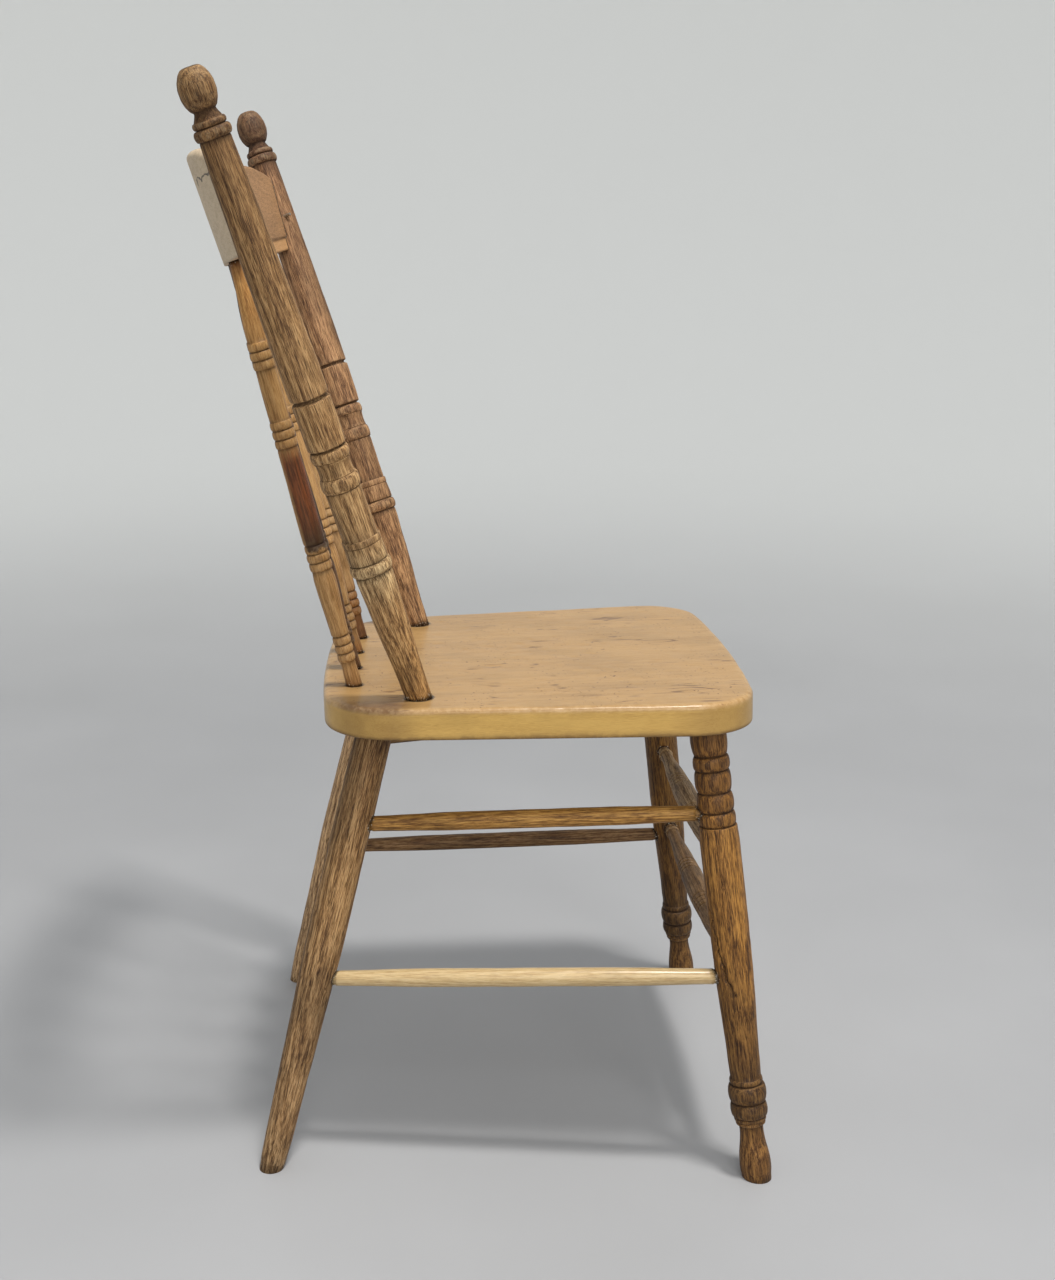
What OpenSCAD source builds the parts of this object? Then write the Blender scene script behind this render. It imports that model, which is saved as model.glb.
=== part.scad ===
// Spindle-back dining chair: a plank seat on raked turned legs, two turned back posts with
// finials, four turned spindles and a bowed crest rail.
// The chair faces -Y and stands on z = 0, with the origin at the bottom centre of its box.

/* [Seat] */
// Height of the seat top at its front edge
seat_h = 444; // [425:1:460]
// Widest part of the seat, near the front
seat_w = 391; // [378:1:400]
// Width of the seat behind the posts
seat_back_w = 358; // [350:1:368]
// Front edge of the seat, measured forward from the chair's centre
seat_front = 243; // [238:1:250]
// Back edge of the seat, measured back from the chair's centre
seat_back = 146; // [142:1:152]
// Thickness of the seat plank
seat_t = 28.5; // [26:0.5:32]
// Fall of the seat towards the back, in degrees
seat_tilt = 2; // [1:0.1:3]
// Radius of the two front corners
front_corner_r = 56; // [45:1:65]
// Radius of the two back corners
back_corner_r = 72; // [60:1:80]

/* [Legs] */
// Half the spread of the front feet
front_foot_x = 206; // [200:1:212]
// Front feet, measured forward from the centre
front_foot_y = 250; // [244:1:256]
// Sideways splay of a front leg, in degrees
front_splay = 5.6; // [4.5:0.1:6.5]
// Backward lean of a front leg, in degrees
front_rake = 7.6; // [6.5:0.1:8.5]
// Half the spread of the rear feet
rear_foot_x = 195; // [190:1:200]
// Rear feet, measured back from the centre
rear_foot_y = 192; // [188:1:198]
// Sideways splay of a rear leg, in degrees
rear_splay = 12.4; // [11.5:0.1:13]
// Forward lean of a rear leg, in degrees
rear_rake = 13.7; // [13:0.1:14.5]
// Thickest part of a front leg
front_leg_d = 35; // [33:0.5:37]
// Thickest part of a rear leg
rear_leg_d = 35; // [33:0.5:37]
// Foot of a rear leg
rear_toe_d = 23; // [20:0.5:25]

/* [Stretchers] */
// Height of the upper side stretchers on the rear legs
side_high_rear = 309; // [304:1:314]
// Height of the upper side stretchers on the front legs
side_high_front = 337; // [330:1:342]
// Height of the right lower side stretcher on its rear leg
side_low_right_rear = 171; // [166:1:180]
// Height of the right lower side stretcher on its front leg
side_low_right_front = 188; // [178:1:190]
// Height of the left lower side stretcher on its rear leg
side_low_left_rear = 178; // [168:1:184]
// Height of the left lower side stretcher on its front leg
side_low_left_front = 181; // [174:1:188]
// Height of the upper front stretcher
front_high = 286; // [278:1:292]
// Height of the lower front stretcher
front_low = 194; // [190:1:200]
// Height of the rear stretcher
rear_mid = 240; // [225:1:255]
// Middle diameter of a plain stretcher
plain_d = 17; // [16:0.5:18]
// Largest diameter of a turned front stretcher
turned_d = 22.5; // [20:0.5:24]

/* [Back] */
// Half the spread of the posts at the seat
post_x = 142; // [138:1:146]
// Post centres at the seat, measured back from the chair's centre
post_y = 56; // [52:1:60]
// Sideways splay of a post, in degrees
post_splay = 8.55; // [7.5:0.05:9]
// Backward lean of a post, in degrees
post_rake = 18.6; // [17.5:0.1:19]
// Length of a post from the seat to the top of its finial
post_len = 556; // [545:1:565]
// Thickest bead of a post
post_d = 37.5; // [35:0.5:39]
// Thickness of the crest rail
rail_t = 17; // [15:0.5:18]
// Height of the crest rail in its middle
rail_h = 101; // [95:1:108]
// Depth of the bow of the crest rail
rail_bow = 34; // [26:1:40]
// Distance from the seat to the bottom of the crest rail, along the posts
rail_up = 411; // [405:1:416]
// Thickest part of a spindle
spindle_d = 21; // [19:0.5:22]

/* [Hidden] */

$fn = 32;
right = -1;            // the sitter's right side is -X
left = 1;
big = 700;             // larger than any trimming cut needs
gap = 0.12;            // radial clearance of a round tenon
seam = 0.1;            // clearance between a trimmed shoulder and the face it stands on
end_gap = 1;           // room left under the end of a tenon

front_leg_tenon_d = 21;
rear_leg_tenon_d = 21;
leg_tenon_l = 20;
post_tenon_d = 18;
post_tenon_l = 19;
spindle_tenon_d = 10.5;
spindle_tenon_l = 17;
spindle_tip_d = 9;
spindle_tip_l = 14;
plain_tenon_d = 13;
turned_tenon_d = 10.5;
rear_tenon_d = 12;
tongue_t = 8;
tongue_low = 14;
tongue_high = 52;
pin_d = 3;
spindle_count = 4;
spindle_seat_pitch = 61;
spindle_rail_pitch = 75;
spindle_seat_y = 115;
spindle_bow = 2.5;     // how much further back the two middle spindles stand

// A point of a raked member at height z, from its foot point and its two slopes
function on_line(foot, sx, sy, z) = [foot.x + sx * (z - foot.z), foot.y + sy * (z - foot.z), z];
function mirror_x(p, side) = [side * p.x, p.y, p.z];
function toward(p, q, d) = p + (q - p) * d / norm(q - p);

front_foot = [front_foot_x, -front_foot_y, 0];
rear_foot = [rear_foot_x, rear_foot_y, 0];
function front_at(z) = on_line(front_foot, -tan(front_splay), tan(front_rake), z);
function rear_at(z) = on_line(rear_foot, -tan(rear_splay), -tan(rear_rake), z);

// The seat top falls towards the back from the front edge
function seat_top(y) = seat_h - (y + seat_front) * tan(seat_tilt);
post_foot = [post_x, post_y, seat_top(post_y)];
post_dir = [tan(post_splay), tan(post_rake), 1];
function post_at(a) = post_foot + post_dir * a / norm(post_dir);
post_top = post_at(post_len);

// The crest rail is drawn upright at the origin and leaned back with the posts
rail_foot = post_at(rail_up);
rail_half = rail_foot.x;
rail_set_back = 4;     // the rail ends sit this far behind the post axes
rail_r = (rail_half * rail_half + rail_bow * rail_bow) / (2 * rail_bow);
rail_crown_r = 1120;
rail_shoulder_r = 34;
function rail_y(x) = rail_set_back + rail_bow - rail_r + sqrt(rail_r * rail_r - x * x);
function rail_place(p) = [p.x, rail_foot.y + p.y * cos(post_rake) + p.z * sin(post_rake),
                          rail_foot.z - p.y * sin(post_rake) + p.z * cos(post_rake)];

function spindle_x(i, pitch) = (i - (spindle_count - 1) / 2) * pitch;
function spindle_foot(i) =
    let (x = spindle_x(i, spindle_seat_pitch),
         y = spindle_seat_y + (abs(x) < spindle_seat_pitch ? spindle_bow : 0))
    [x, y, seat_top(y)];
function spindle_head(i) =
    let (x = spindle_x(i, spindle_rail_pitch)) rail_place([x, rail_y(x), 0]);

// ---- outlines of turned work: [radius, distance along the axis] ----
bead_step = 22.5;
// A half round from radius r, h high; a negative h makes a cove
function bead(a0, a1, r, h) =
    [for (t = [0 : bead_step : 180])
        [r + h * sin(t), (a0 + a1) / 2 - (a1 - a0) / 2 * cos(t)]];
// The rounded lower edge of a shaft that begins at a0
function shoulder(a0, r, e) =
    [for (t = [0 : bead_step : 90]) [r - e + e * sin(t), a0 + e - e * cos(t)]];
// A barrel between two cut lines, its edges rounded by e
function barrel(a0, a1, r, e) =
    concat(shoulder(a0, r, e),
           [for (t = [90 : bead_step : 180]) [r - e + e * sin(t), a1 - e - e * cos(t)]]);
// A smooth change of radius with a level start and a level end
function ease(a0, r0, a1, r1) =
    [for (t = [0 : bead_step : 180])
        [r0 + (r1 - r0) * (1 - cos(t)) / 2, a0 + (a1 - a0) * t / 180]];
function tidy(p) =
    [for (i = [0 : len(p) - 1]) if (i == 0 || norm(p[i] - p[i - 1]) > 0.02) p[i]];

module turned(outline) {
    p = tidy(outline);
    rotate([0, 0, 180]) rotate_extrude()
        polygon(concat([[0, p[0][1]]], p, [[0, p[len(p) - 1][1]]]));
}

// Stands its children on the line from p to q, with p at their origin
module along(p, q) {
    d = q - p;
    translate(p) rotate([0, acos(d.z / norm(d)), atan2(d.y, d.x)]) children();
}

// A rod from p to q, longer at each end by the two extras
module rod(p, q, d, before = 0, after = 0) {
    along(p, q) translate([0, 0, -before])
        cylinder(d = d, h = norm(q - p) + before + after);
}

// Everything above or below the seat's top plane, moved up by lift
module over_seat(lift) {
    translate([0, -seat_front, seat_h + lift]) rotate([-seat_tilt, 0, 0])
        translate([-big / 2, -big / 2, 0]) cube([big, big * 2, big]);
}
module under_seat(lift) {
    translate([0, -seat_front, seat_h + lift]) rotate([-seat_tilt, 0, 0])
        translate([-big / 2, -big / 2, -big]) cube([big, big * 2, big]);
}
module under_floor() {
    translate([-big / 2, -big / 2, -big]) cube(big);
}
module rail_frame() {
    translate([0, rail_foot.y, rail_foot.z]) rotate([-post_rake, 0, 0]) children();
}

// ---- seat ----
front_bow = 5;         // the front edge stands this far forward in its middle
back_bow = 3;
side_a = 3.6;          // the sides close in towards the back by this angle
corner_steps = 9;
edge_steps = 6;
function corner(c, r, a0, a1) =
    [for (i = [0 : corner_steps])
        let (a = a0 + (a1 - a0) * i / corner_steps) c + r * [cos(a), sin(a)]];
function seat_half(inset) =
    let (fx = seat_w / 2 - front_corner_r, bx = seat_back_w / 2 - back_corner_r)
    concat(
        [for (i = [0 : edge_steps - 1])
            [fx * i / edge_steps, inset - seat_front + front_bow * pow(i / edge_steps, 2)]],
        corner([fx, front_bow + front_corner_r - seat_front], front_corner_r - inset, -90, side_a),
        corner([bx, seat_back - back_bow - back_corner_r], back_corner_r - inset, side_a, 90),
        [for (i = [edge_steps - 1 : -1 : 0])
            [bx * i / edge_steps, seat_back - inset - back_bow * pow(i / edge_steps, 2)]]);
module seat_outline(inset) {
    half = seat_half(inset);
    polygon(concat(half, [for (i = [len(half) - 2 : -1 : 1]) [-half[i].x, half[i].y]]));
}

// The plank: straight edges, stepped round in a quarter turn at the top and eased below
module seat_plank() {
    nose = 5;
    ease_under = 2;
    step = 22.5;
    translate([0, 0, ease_under])
        linear_extrude(seat_t - nose - ease_under) seat_outline(0);
    for (t = [0 : step : 90 - step])
        translate([0, 0, seat_t / 2])
            linear_extrude(seat_t / 2 - nose + nose * sin(t + step))
                seat_outline(nose * (1 - cos(t + step / 2)));
    linear_extrude(ease_under) seat_outline(ease_under / 2);
}

module seat() {
    color("burlywood") difference() {
        translate([0, -seat_front, seat_h]) rotate([-seat_tilt, 0, 0])
            translate([0, seat_front, -seat_t]) seat_plank();
        for (side = [right, left]) {
            leg_socket(mirror_x(front_leg_top(), side), mirror_x(front_foot, side), front_leg_tenon_d);
            leg_socket(mirror_x(rear_leg_top(), side), mirror_x(rear_foot, side), rear_leg_tenon_d);
            rod(mirror_x(post_at(0), side), mirror_x(post_at(-post_tenon_l - end_gap), side),
                post_tenon_d + 2 * gap, spindle_tenon_l);
        }
        for (i = [0 : spindle_count - 1])
            rod(spindle_foot(i),
                toward(spindle_foot(i), spindle_head(i), -spindle_tenon_l - end_gap),
                spindle_tenon_d + 2 * gap, spindle_tenon_l);
    }
}
module leg_socket(top, foot, d) {
    rod(toward(top, foot, -leg_tenon_l - end_gap), foot, d + 2 * gap, 0, -seat_h / 2);
}

// Where a leg's axis meets the underside of the seat
function under_z(y) = seat_top(y) - seat_t / cos(seat_tilt);
function front_leg_top() =
    let (z = under_z(front_at(seat_h - seat_t).y)) front_at(z);
function rear_leg_top() =
    let (z = under_z(rear_at(seat_h - seat_t).y)) rear_at(z);

// ---- legs ----
front_leg_l = norm(front_leg_top() - front_foot);
rear_leg_l = norm(rear_leg_top() - rear_foot);
r_front = front_leg_d / 2;
r_rear = rear_leg_d / 2;
trim = 12;             // turned work runs on this far past a face before it is cut to it

front_leg_outline = concat(
    [[11.5, -trim], [13, 1]], ease(2, 13.2, 10, 14.1), ease(13, 14.1, 46, 10.5),
    [[10.9, 51.6]], bead(52, 55.4, 12.2, 1.2), bead(55.8, 59.6, 13.2, 1.2),
    bead(60, 73.6, 14.4, 2.2), bead(74.2, 90.4, 14.6, 2.6), bead(91, 96.5, 13.6, 1.3),
    [[13.7, 98]], ease(110, 14.2, 205, r_front - 0.5), ease(235, r_front, 318, r_front),
    [[r_front - 0.6, 330]],
    bead(331, 343, r_front - 2.7, 1.6), bead(343.4, 360.8, r_front - 3.6, 2.3),
    bead(361.2, 381, r_front - 3.7, 2.4), bead(381.4, 393.8, r_front - 3.2, 2.1),
    bead(394.2, 421, r_front - 3.8, 2.4), [[13.6, front_leg_l + trim]]);

rear_leg_outline = concat(
    [[rear_toe_d / 2 - 1.6, -trim], [rear_toe_d / 2 - 1, 4], [rear_toe_d / 2, 7]],
    [[rear_toe_d / 2 + 1.4, 34], [14.2, 92], [15.7, 150], [r_rear, 210], [r_rear, 330],
        [r_rear - 0.7, rear_leg_l + trim]]);

module leg(foot, top, outline, tenon_d) {
    difference() {
        union() {
            difference() {
                along(foot, top) turned(outline);
                over_seat(-seat_t - seam);
            }
            rod(toward(top, foot, trim), top, tenon_d, 0, leg_tenon_l);
        }
        under_floor();
    }
}

module front_leg(side) {
    color("saddlebrown") difference() {
        leg(mirror_x(front_foot, side), mirror_x(front_leg_top(), side), front_leg_outline,
            front_leg_tenon_d);
        side_socket(side, side_high_front, side_high_rear);
        side_socket(side, side_low_front(side), side_low_rear(side));
        for (z = [front_high, front_low])
            socket(mirror_x(front_at(z), side), mirror_x(front_at(z), -side), turned_tenon_d);
    }
}
module rear_leg(side) {
    color("rosybrown") difference() {
        leg(mirror_x(rear_foot, side), mirror_x(rear_leg_top(), side), rear_leg_outline,
            rear_leg_tenon_d);
        side_socket(side, side_high_front, side_high_rear);
        side_socket(side, side_low_front(side), side_low_rear(side));
        socket(mirror_x(rear_at(rear_mid), side), mirror_x(rear_at(rear_mid), -side), rear_tenon_d);
    }
}

// ---- stretchers ----
// A blind hole on the axis p to q, from just short of p outwards
module socket(p, q, d) {
    rod(toward(p, q, tenon_start - end_gap), toward(p, q, trim * 4), d + 2 * gap);
}
function side_low_front(side) = side == right ? side_low_right_front : side_low_left_front;
function side_low_rear(side) = side == right ? side_low_right_rear : side_low_left_rear;
module side_socket(side, z_front, z_rear) {
    f = mirror_x(front_at(z_front), side);
    r = mirror_x(rear_at(z_rear), side);
    socket(f, r, plain_tenon_d);
    socket(r, f, plain_tenon_d);
}
tenon_start = 8.2;     // a tenon stops this far short of the leg's axis

// A stick between two legs: its outline runs from shoulder to shoulder, with a tenon at each end
module stretcher(p, q, tenon_d, outline) {
    along(p, q) turned(outline);
    rod(toward(p, q, tenon_start), toward(q, p, tenon_start), tenon_d);
}
shoulder_p = front_leg_d / 2 + 1.2;
shoulder_q = rear_leg_d / 2 + 1.2;

function plain_outline(l, tenon_d, d) = concat(
    ease(shoulder_p, tenon_d / 2 + 0.6, l * 0.3, d / 2),
    ease(l * 0.7, d / 2, l - shoulder_q, tenon_d / 2 + 0.6));

module side_stretcher(side, z_front, z_rear) {
    f = mirror_x(front_at(z_front), side);
    r = mirror_x(rear_at(z_rear), side);
    stretcher(f, r, plain_tenon_d, plain_outline(norm(r - f), plain_tenon_d, plain_d));
}

// Half of a turned front stretcher, from its shoulder to its middle: a ring near the leg, a
// long swell and a group of four fine cuts beside the middle
function turned_half(l) =
    let (r = turned_d / 2, neck = turned_tenon_d / 2 + 0.7, cuts = 4, pitch = 8, first = l / 2 - 58)
    concat(
        [[neck, shoulder_p]],
        bead(shoulder_p + 10, shoulder_p + 15, neck + 0.6, 1), [[neck + 0.2, shoulder_p + 16]],
        ease(shoulder_p + 22, neck + 0.4, first - 8, r - 1.6),
        [for (i = [0 : cuts - 1], edge = [-1.2, 0, 1.2])
            [r - (1.2 - 0.3 * i) - (edge == 0 ? 1 : 0), first + i * pitch + edge]],
        [[r, l / 2 - 20], [r, l / 2]]);
function flipped(half, l) =
    [for (i = [len(half) - 2 : -1 : 0]) [half[i][0], l - half[i][1]]];

module front_stretcher(z) {
    p = mirror_x(front_at(z), right);
    q = mirror_x(front_at(z), left);
    half = turned_half(norm(q - p));
    color("rosybrown") stretcher(p, q, turned_tenon_d, concat(half, flipped(half, norm(q - p))));
}

// ---- back ----
r_post = post_d / 2;
neck_a = 522;
finial = concat(
    [[9.6, neck_a - 2], [9.1, neck_a]],
    [for (t = [-50 : 20 : 60])
        [4 + 11 * cos(t), (neck_a + post_len) / 2 - 1 + (post_len - neck_a) / 2 * sin(t) * 1.06]],
    [[9.2, post_len - 2], [7.6, post_len - 0.8], [5.4, post_len - 0.2], [3, post_len]]);
post_outline = concat(
    [[11.4, -trim], [11.6, 6]], ease(14, 12, 96, 15.6), [[16.6, 119], [16.4, 123.6]],
    bead(125, 136, 16, r_post - 16), [[17.2, 137]], ease(140, 17.3, 152, 16.8),
    barrel(152.4, 158.6, 17, 1.4), [[15.6, 160], [15.7, 202]],
    bead(203, 216, 15.2, 2), bead(216.6, 229.6, 15.6, -0.8), bead(230.4, 239.8, 15.2, 1.9),
    [[13.8, 240.7]], barrel(241.8, 283, 16.9, 1.6), [[14.2, 284.6]],
    shoulder(286, 16.9, 1.6), [[16.8, 320], [14, 470], [13.2, 499.6]],
    bead(500.6, 509.6, 12.8, 2.9), bead(509.8, 515.5, 12, 2),
    finial);
module post(side) {
    foot = mirror_x(post_foot, side);
    top = mirror_x(post_top, side);
    color(side == right ? "peru" : "sienna") difference() {
        union() {
            difference() {
                along(foot, top) turned(post_outline);
                under_seat(seam);
            }
            rod(toward(foot, top, trim), toward(foot, top, -post_tenon_l), post_tenon_d);
        }
        tongue(side, gap, end_gap);
        crest_pin_rod(side, gap / 2);
    }
}

// Places its children at an end of the rail's centre line, +X running outwards along the rail
rail_end_angle = asin(rail_half / rail_r);
module rail_end(side) {
    rail_frame() mirror([side < 0 ? 1 : 0, 0, 0])
        translate([rail_half, rail_y(rail_half), 0]) rotate([0, 0, -rail_end_angle]) children();
}
// The tongue of the crest rail in its mortise; the mortise is the same shape grown by room
module tongue(side, room, extra) {
    tongue_root = 26;
    tongue_tip = 3 + extra;
    rail_end(side) translate([-tongue_root, -tongue_t / 2 - room, tongue_low - room])
        cube([tongue_root + tongue_tip, tongue_t + 2 * room, tongue_high - tongue_low + 2 * room]);
}
module crest_pin_rod(side, room) {
    pin_up = (tongue_low + tongue_high) / 2;
    pin_in = 5;
    rail_end(side) translate([-pin_in, tongue_t / 2, pin_up]) rotate([90, 0, 0])
        cylinder(d = pin_d + 2 * room, h = tongue_t / 2 + pin_l, $fn = 24);
}
pin_l = 17.5;          // from the tongue's centre to the pin's head, just proud of the post
module crest_pin(side) {
    color("silver") crest_pin_rod(side, 0);
}

rail_facets = 240;
rail_side_h = 48;      // the rail's ends stand straight up to here, then round over to the top
rail_reach = 6;        // how far past the post axes the rail is cut off
module rail_elevation() {
    flat = rail_half - rail_shoulder_r;
    shoulder_stretch = 1.25;
    shoulder_grow = 4;
    difference() {
        translate([0, rail_h - rail_crown_r]) circle(r = rail_crown_r, $fn = rail_facets);
        translate([-big, -2 * rail_crown_r]) square([2 * big, 2 * rail_crown_r]);
        for (side = [right, left]) difference() {
            translate([side > 0 ? flat : -flat - big, 0]) square([big, big]);
            translate([side * flat, rail_side_h]) scale([shoulder_stretch, 1])
                circle(r = rail_shoulder_r + shoulder_grow, $fn = rail_facets / 3);
            translate([-big / 2, 0]) square([big, rail_side_h]);
        }
    }
}

module crest_rail() {
    color("tan") difference() {
        union() {
            difference() {
                rail_frame() intersection() {
                    translate([0, rail_set_back + rail_bow - rail_r, 0]) difference() {
                        cylinder(r = rail_r + rail_t / 2, h = rail_h, $fn = rail_facets);
                        translate([0, 0, -1])
                            cylinder(r = rail_r - rail_t / 2, h = rail_h + 2, $fn = rail_facets);
                    }
                    translate([0, rail_r / 2, 0]) rotate([90, 0, 0])
                        linear_extrude(rail_r) rail_elevation();
                }
                for (side = [right, left]) rail_end_cut(side);
            }
            for (side = [right, left]) tongue(side, 0, 0);
        }
        for (side = [right, left]) crest_pin_rod(side, gap / 2);
        for (i = [0 : spindle_count - 1])
            rod(toward(spindle_head(i), spindle_foot(i), trim), spindle_head(i),
                spindle_tip_d + 2 * gap, 0, spindle_tip_l + end_gap);
    }
}
// Everything from the post outwards is cut away, leaving a thin dark line at the post
module rail_end_cut(side) {
    line_gap = 0.4;
    below = 20;
    post_low_r = 15.3;
    post_high_r = 13.4;
    edge = rail_half + rail_reach;
    along(mirror_x(post_foot, side), mirror_x(post_top, side)) translate([0, 0, rail_up - below])
        cylinder(r1 = post_low_r + line_gap, r2 = post_high_r + line_gap, h = rail_h * 1.3);
    rail_frame() translate([side > 0 ? edge : -edge - big, -big / 2, -big / 2]) cube(big);
}

r_spin = spindle_d / 2;
// Three beads, with a at their middle
function ring_group(a, r) =
    [for (i = [-1 : 1]) each bead(a + 8.2 * i - 3.9, a + 8.2 * i + 3.9, r - 1.5, 1.5 - 0.2 * abs(i))];
function spindle_outline(l) = concat(
    [[7.3, -trim], [7.3, 3]], ease(8, 7.2, l * 0.055, 6.8), ring_group(l * 0.093, 8.6),
    ease(l * 0.13, 8.3, l * 0.26, r_spin - 0.3), ring_group(l * 0.318, r_spin + 0.2),
    ease(l * 0.355, r_spin - 0.3, l * 0.57, r_spin - 1), ring_group(l * 0.61, r_spin - 0.1),
    ease(l * 0.65, r_spin - 1.2, l * 0.75, r_spin - 1.2), ring_group(l * 0.79, r_spin),
    ease(l * 0.83, r_spin - 1.4, l * 0.985, 5.8), [[5.7, l + trim]]);

module spindle(i) {
    foot = spindle_foot(i);
    head = spindle_head(i);
    color("goldenrod") {
        difference() {
            along(foot, head) turned(spindle_outline(norm(head - foot)));
            under_seat(seam);
            rail_frame() translate([-big / 2, -big / 2, -seam]) cube(big);
        }
        rod(toward(foot, head, trim), toward(foot, head, -spindle_tenon_l), spindle_tenon_d);
        rod(toward(head, foot, trim), head, spindle_tip_d, 0, spindle_tip_l);
    }
}

module side_stretcher_high(side) {
    color("sienna") side_stretcher(side, side_high_front, side_high_rear);
}
module side_stretcher_low(side) {
    color(side == right ? "khaki" : "rosybrown")
        side_stretcher(side, side_low_front(side), side_low_rear(side));
}
module rear_stretcher() {
    p = mirror_x(rear_at(rear_mid), right);
    q = mirror_x(rear_at(rear_mid), left);
    color("rosybrown") stretcher(p, q, rear_tenon_d, plain_outline(norm(q - p), rear_tenon_d, plain_d));
}

seat();
post(right);  // post_right
post(left);  // post_left
crest_rail();
spindle(0);  // spindle_1
spindle(1);  // spindle_2
spindle(2);  // spindle_3
spindle(3);  // spindle_4
front_leg(right);  // leg_front_right
front_leg(left);  // leg_front_left
rear_leg(right);  // leg_rear_right
rear_leg(left);  // leg_rear_left
side_stretcher_high(right);  // side_stretcher_high_right
side_stretcher_high(left);  // side_stretcher_high_left
side_stretcher_low(right);  // side_stretcher_low_right
side_stretcher_low(left);  // side_stretcher_low_left
front_stretcher(front_high);  // front_stretcher_high
front_stretcher(front_low);  // front_stretcher_low
rear_stretcher();
crest_pin(right);  // crest_pin_right
crest_pin(left);  // crest_pin_left
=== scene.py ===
"""Looks of a spindle-back dining chair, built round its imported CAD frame.

Every turned piece is turned again here from its CAD node's own outline, much finer and a little worn.
The seat and the crest rail are new meshes drawn on the planes and curves of their CAD nodes. The wood is
procedural, and each piece has its own finish, because the chair's pieces differ in colour and wear.
"""
import math

import bmesh
import bpy
import numpy as np
from mathutils import Matrix, Vector
from mathutils.geometry import convex_hull_2d


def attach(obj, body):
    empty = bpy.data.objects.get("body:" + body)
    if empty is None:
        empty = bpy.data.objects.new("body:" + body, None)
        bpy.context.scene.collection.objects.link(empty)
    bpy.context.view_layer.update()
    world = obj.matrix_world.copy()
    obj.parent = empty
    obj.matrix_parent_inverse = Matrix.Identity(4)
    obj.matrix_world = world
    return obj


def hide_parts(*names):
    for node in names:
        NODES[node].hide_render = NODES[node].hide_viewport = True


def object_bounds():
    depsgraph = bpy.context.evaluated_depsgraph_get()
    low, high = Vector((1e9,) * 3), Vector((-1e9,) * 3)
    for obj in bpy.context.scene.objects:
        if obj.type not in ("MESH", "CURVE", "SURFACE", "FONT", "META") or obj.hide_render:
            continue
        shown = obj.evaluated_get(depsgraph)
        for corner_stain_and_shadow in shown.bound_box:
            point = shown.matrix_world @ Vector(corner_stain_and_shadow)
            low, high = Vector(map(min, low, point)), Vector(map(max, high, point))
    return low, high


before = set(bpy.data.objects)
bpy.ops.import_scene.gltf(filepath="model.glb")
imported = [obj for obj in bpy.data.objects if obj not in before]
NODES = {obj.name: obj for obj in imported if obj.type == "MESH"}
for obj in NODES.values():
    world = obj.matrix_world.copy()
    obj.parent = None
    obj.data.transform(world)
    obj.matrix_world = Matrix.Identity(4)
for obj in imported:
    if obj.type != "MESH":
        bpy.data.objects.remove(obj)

MM = 0.001
CAD_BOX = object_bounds()


# ---------------- reading the frame
def unit(v):
    return v / np.linalg.norm(v)


def points_of(mesh):
    flat = np.zeros(len(mesh.vertices) * 3)
    mesh.vertices.foreach_get("co", flat)
    return flat.reshape(-1, 3)


def hull_of(flat):
    """The numbers of the points of a plane that are corners of their convex hull, in order round it."""
    return convex_hull_2d([tuple(p) for p in flat])


def vertices_of(node):
    return points_of(NODES[node].data)


def faces_of(node):
    """Centres, normals and areas of a CAD node's faces."""
    polygons = NODES[node].data.polygons
    centres = np.zeros(len(polygons) * 3)
    normals = np.zeros(len(polygons) * 3)
    areas = np.zeros(len(polygons))
    polygons.foreach_get("center", centres)
    polygons.foreach_get("normal", normals)
    polygons.foreach_get("area", areas)
    return centres.reshape(-1, 3), normals.reshape(-1, 3), areas


def flat_face(node, toward, spread=0.02):
    """A point and the normal of the outermost flat face of a node that looks that way."""
    centres, normals, areas = faces_of(node)
    looking = normals @ unit(np.array(toward, float)) > 1 - spread
    normal = unit((normals[looking] * areas[looking, None]).sum(0))
    same_plane = 0.6 * MM
    for _ in range(3):
        offset = centres @ normal
        chosen = looking & (offset > offset[looking].max() - same_plane)
        normal = unit((normals[chosen] * areas[chosen, None]).sum(0))
    middle = centres[chosen].mean(0) * [0, 1, 1]
    return middle + normal * ((vertices_of(node) - middle) @ normal).max(), normal


def square_to(direction):
    """Two unit vectors square to a direction and to each other."""
    u = unit(np.cross(direction, [0.3, 0.5, 0.8]))
    return u, np.cross(direction, u)


def turning_axis(node):
    """A point on a turned node's axis and its direction: the line that its face normals meet."""
    points = vertices_of(node)
    centres, normals, areas = faces_of(node)
    middle = points.mean(0)
    direction = np.linalg.svd(points - middle, full_matrices=False)[2][0]
    near_enough = 0.4 * MM
    for _ in range(12):
        u, v = square_to(direction)
        arms = np.cross(centres - middle, normals)
        miss = arms @ direction
        columns = np.stack([arms @ u, arms @ v, -np.cross(u, normals) @ direction,
                            -np.cross(v, normals) @ direction], 1)
        weight = np.sqrt(areas) / (1 + (miss / near_enough) ** 2)
        step = np.linalg.lstsq(columns * weight[:, None], -miss * weight, rcond=None)[0]
        direction = unit(direction + step[0] * u + step[1] * v)
        middle = middle + step[2] * u + step[3] * v
    return centred(points, middle, direction)


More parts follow.
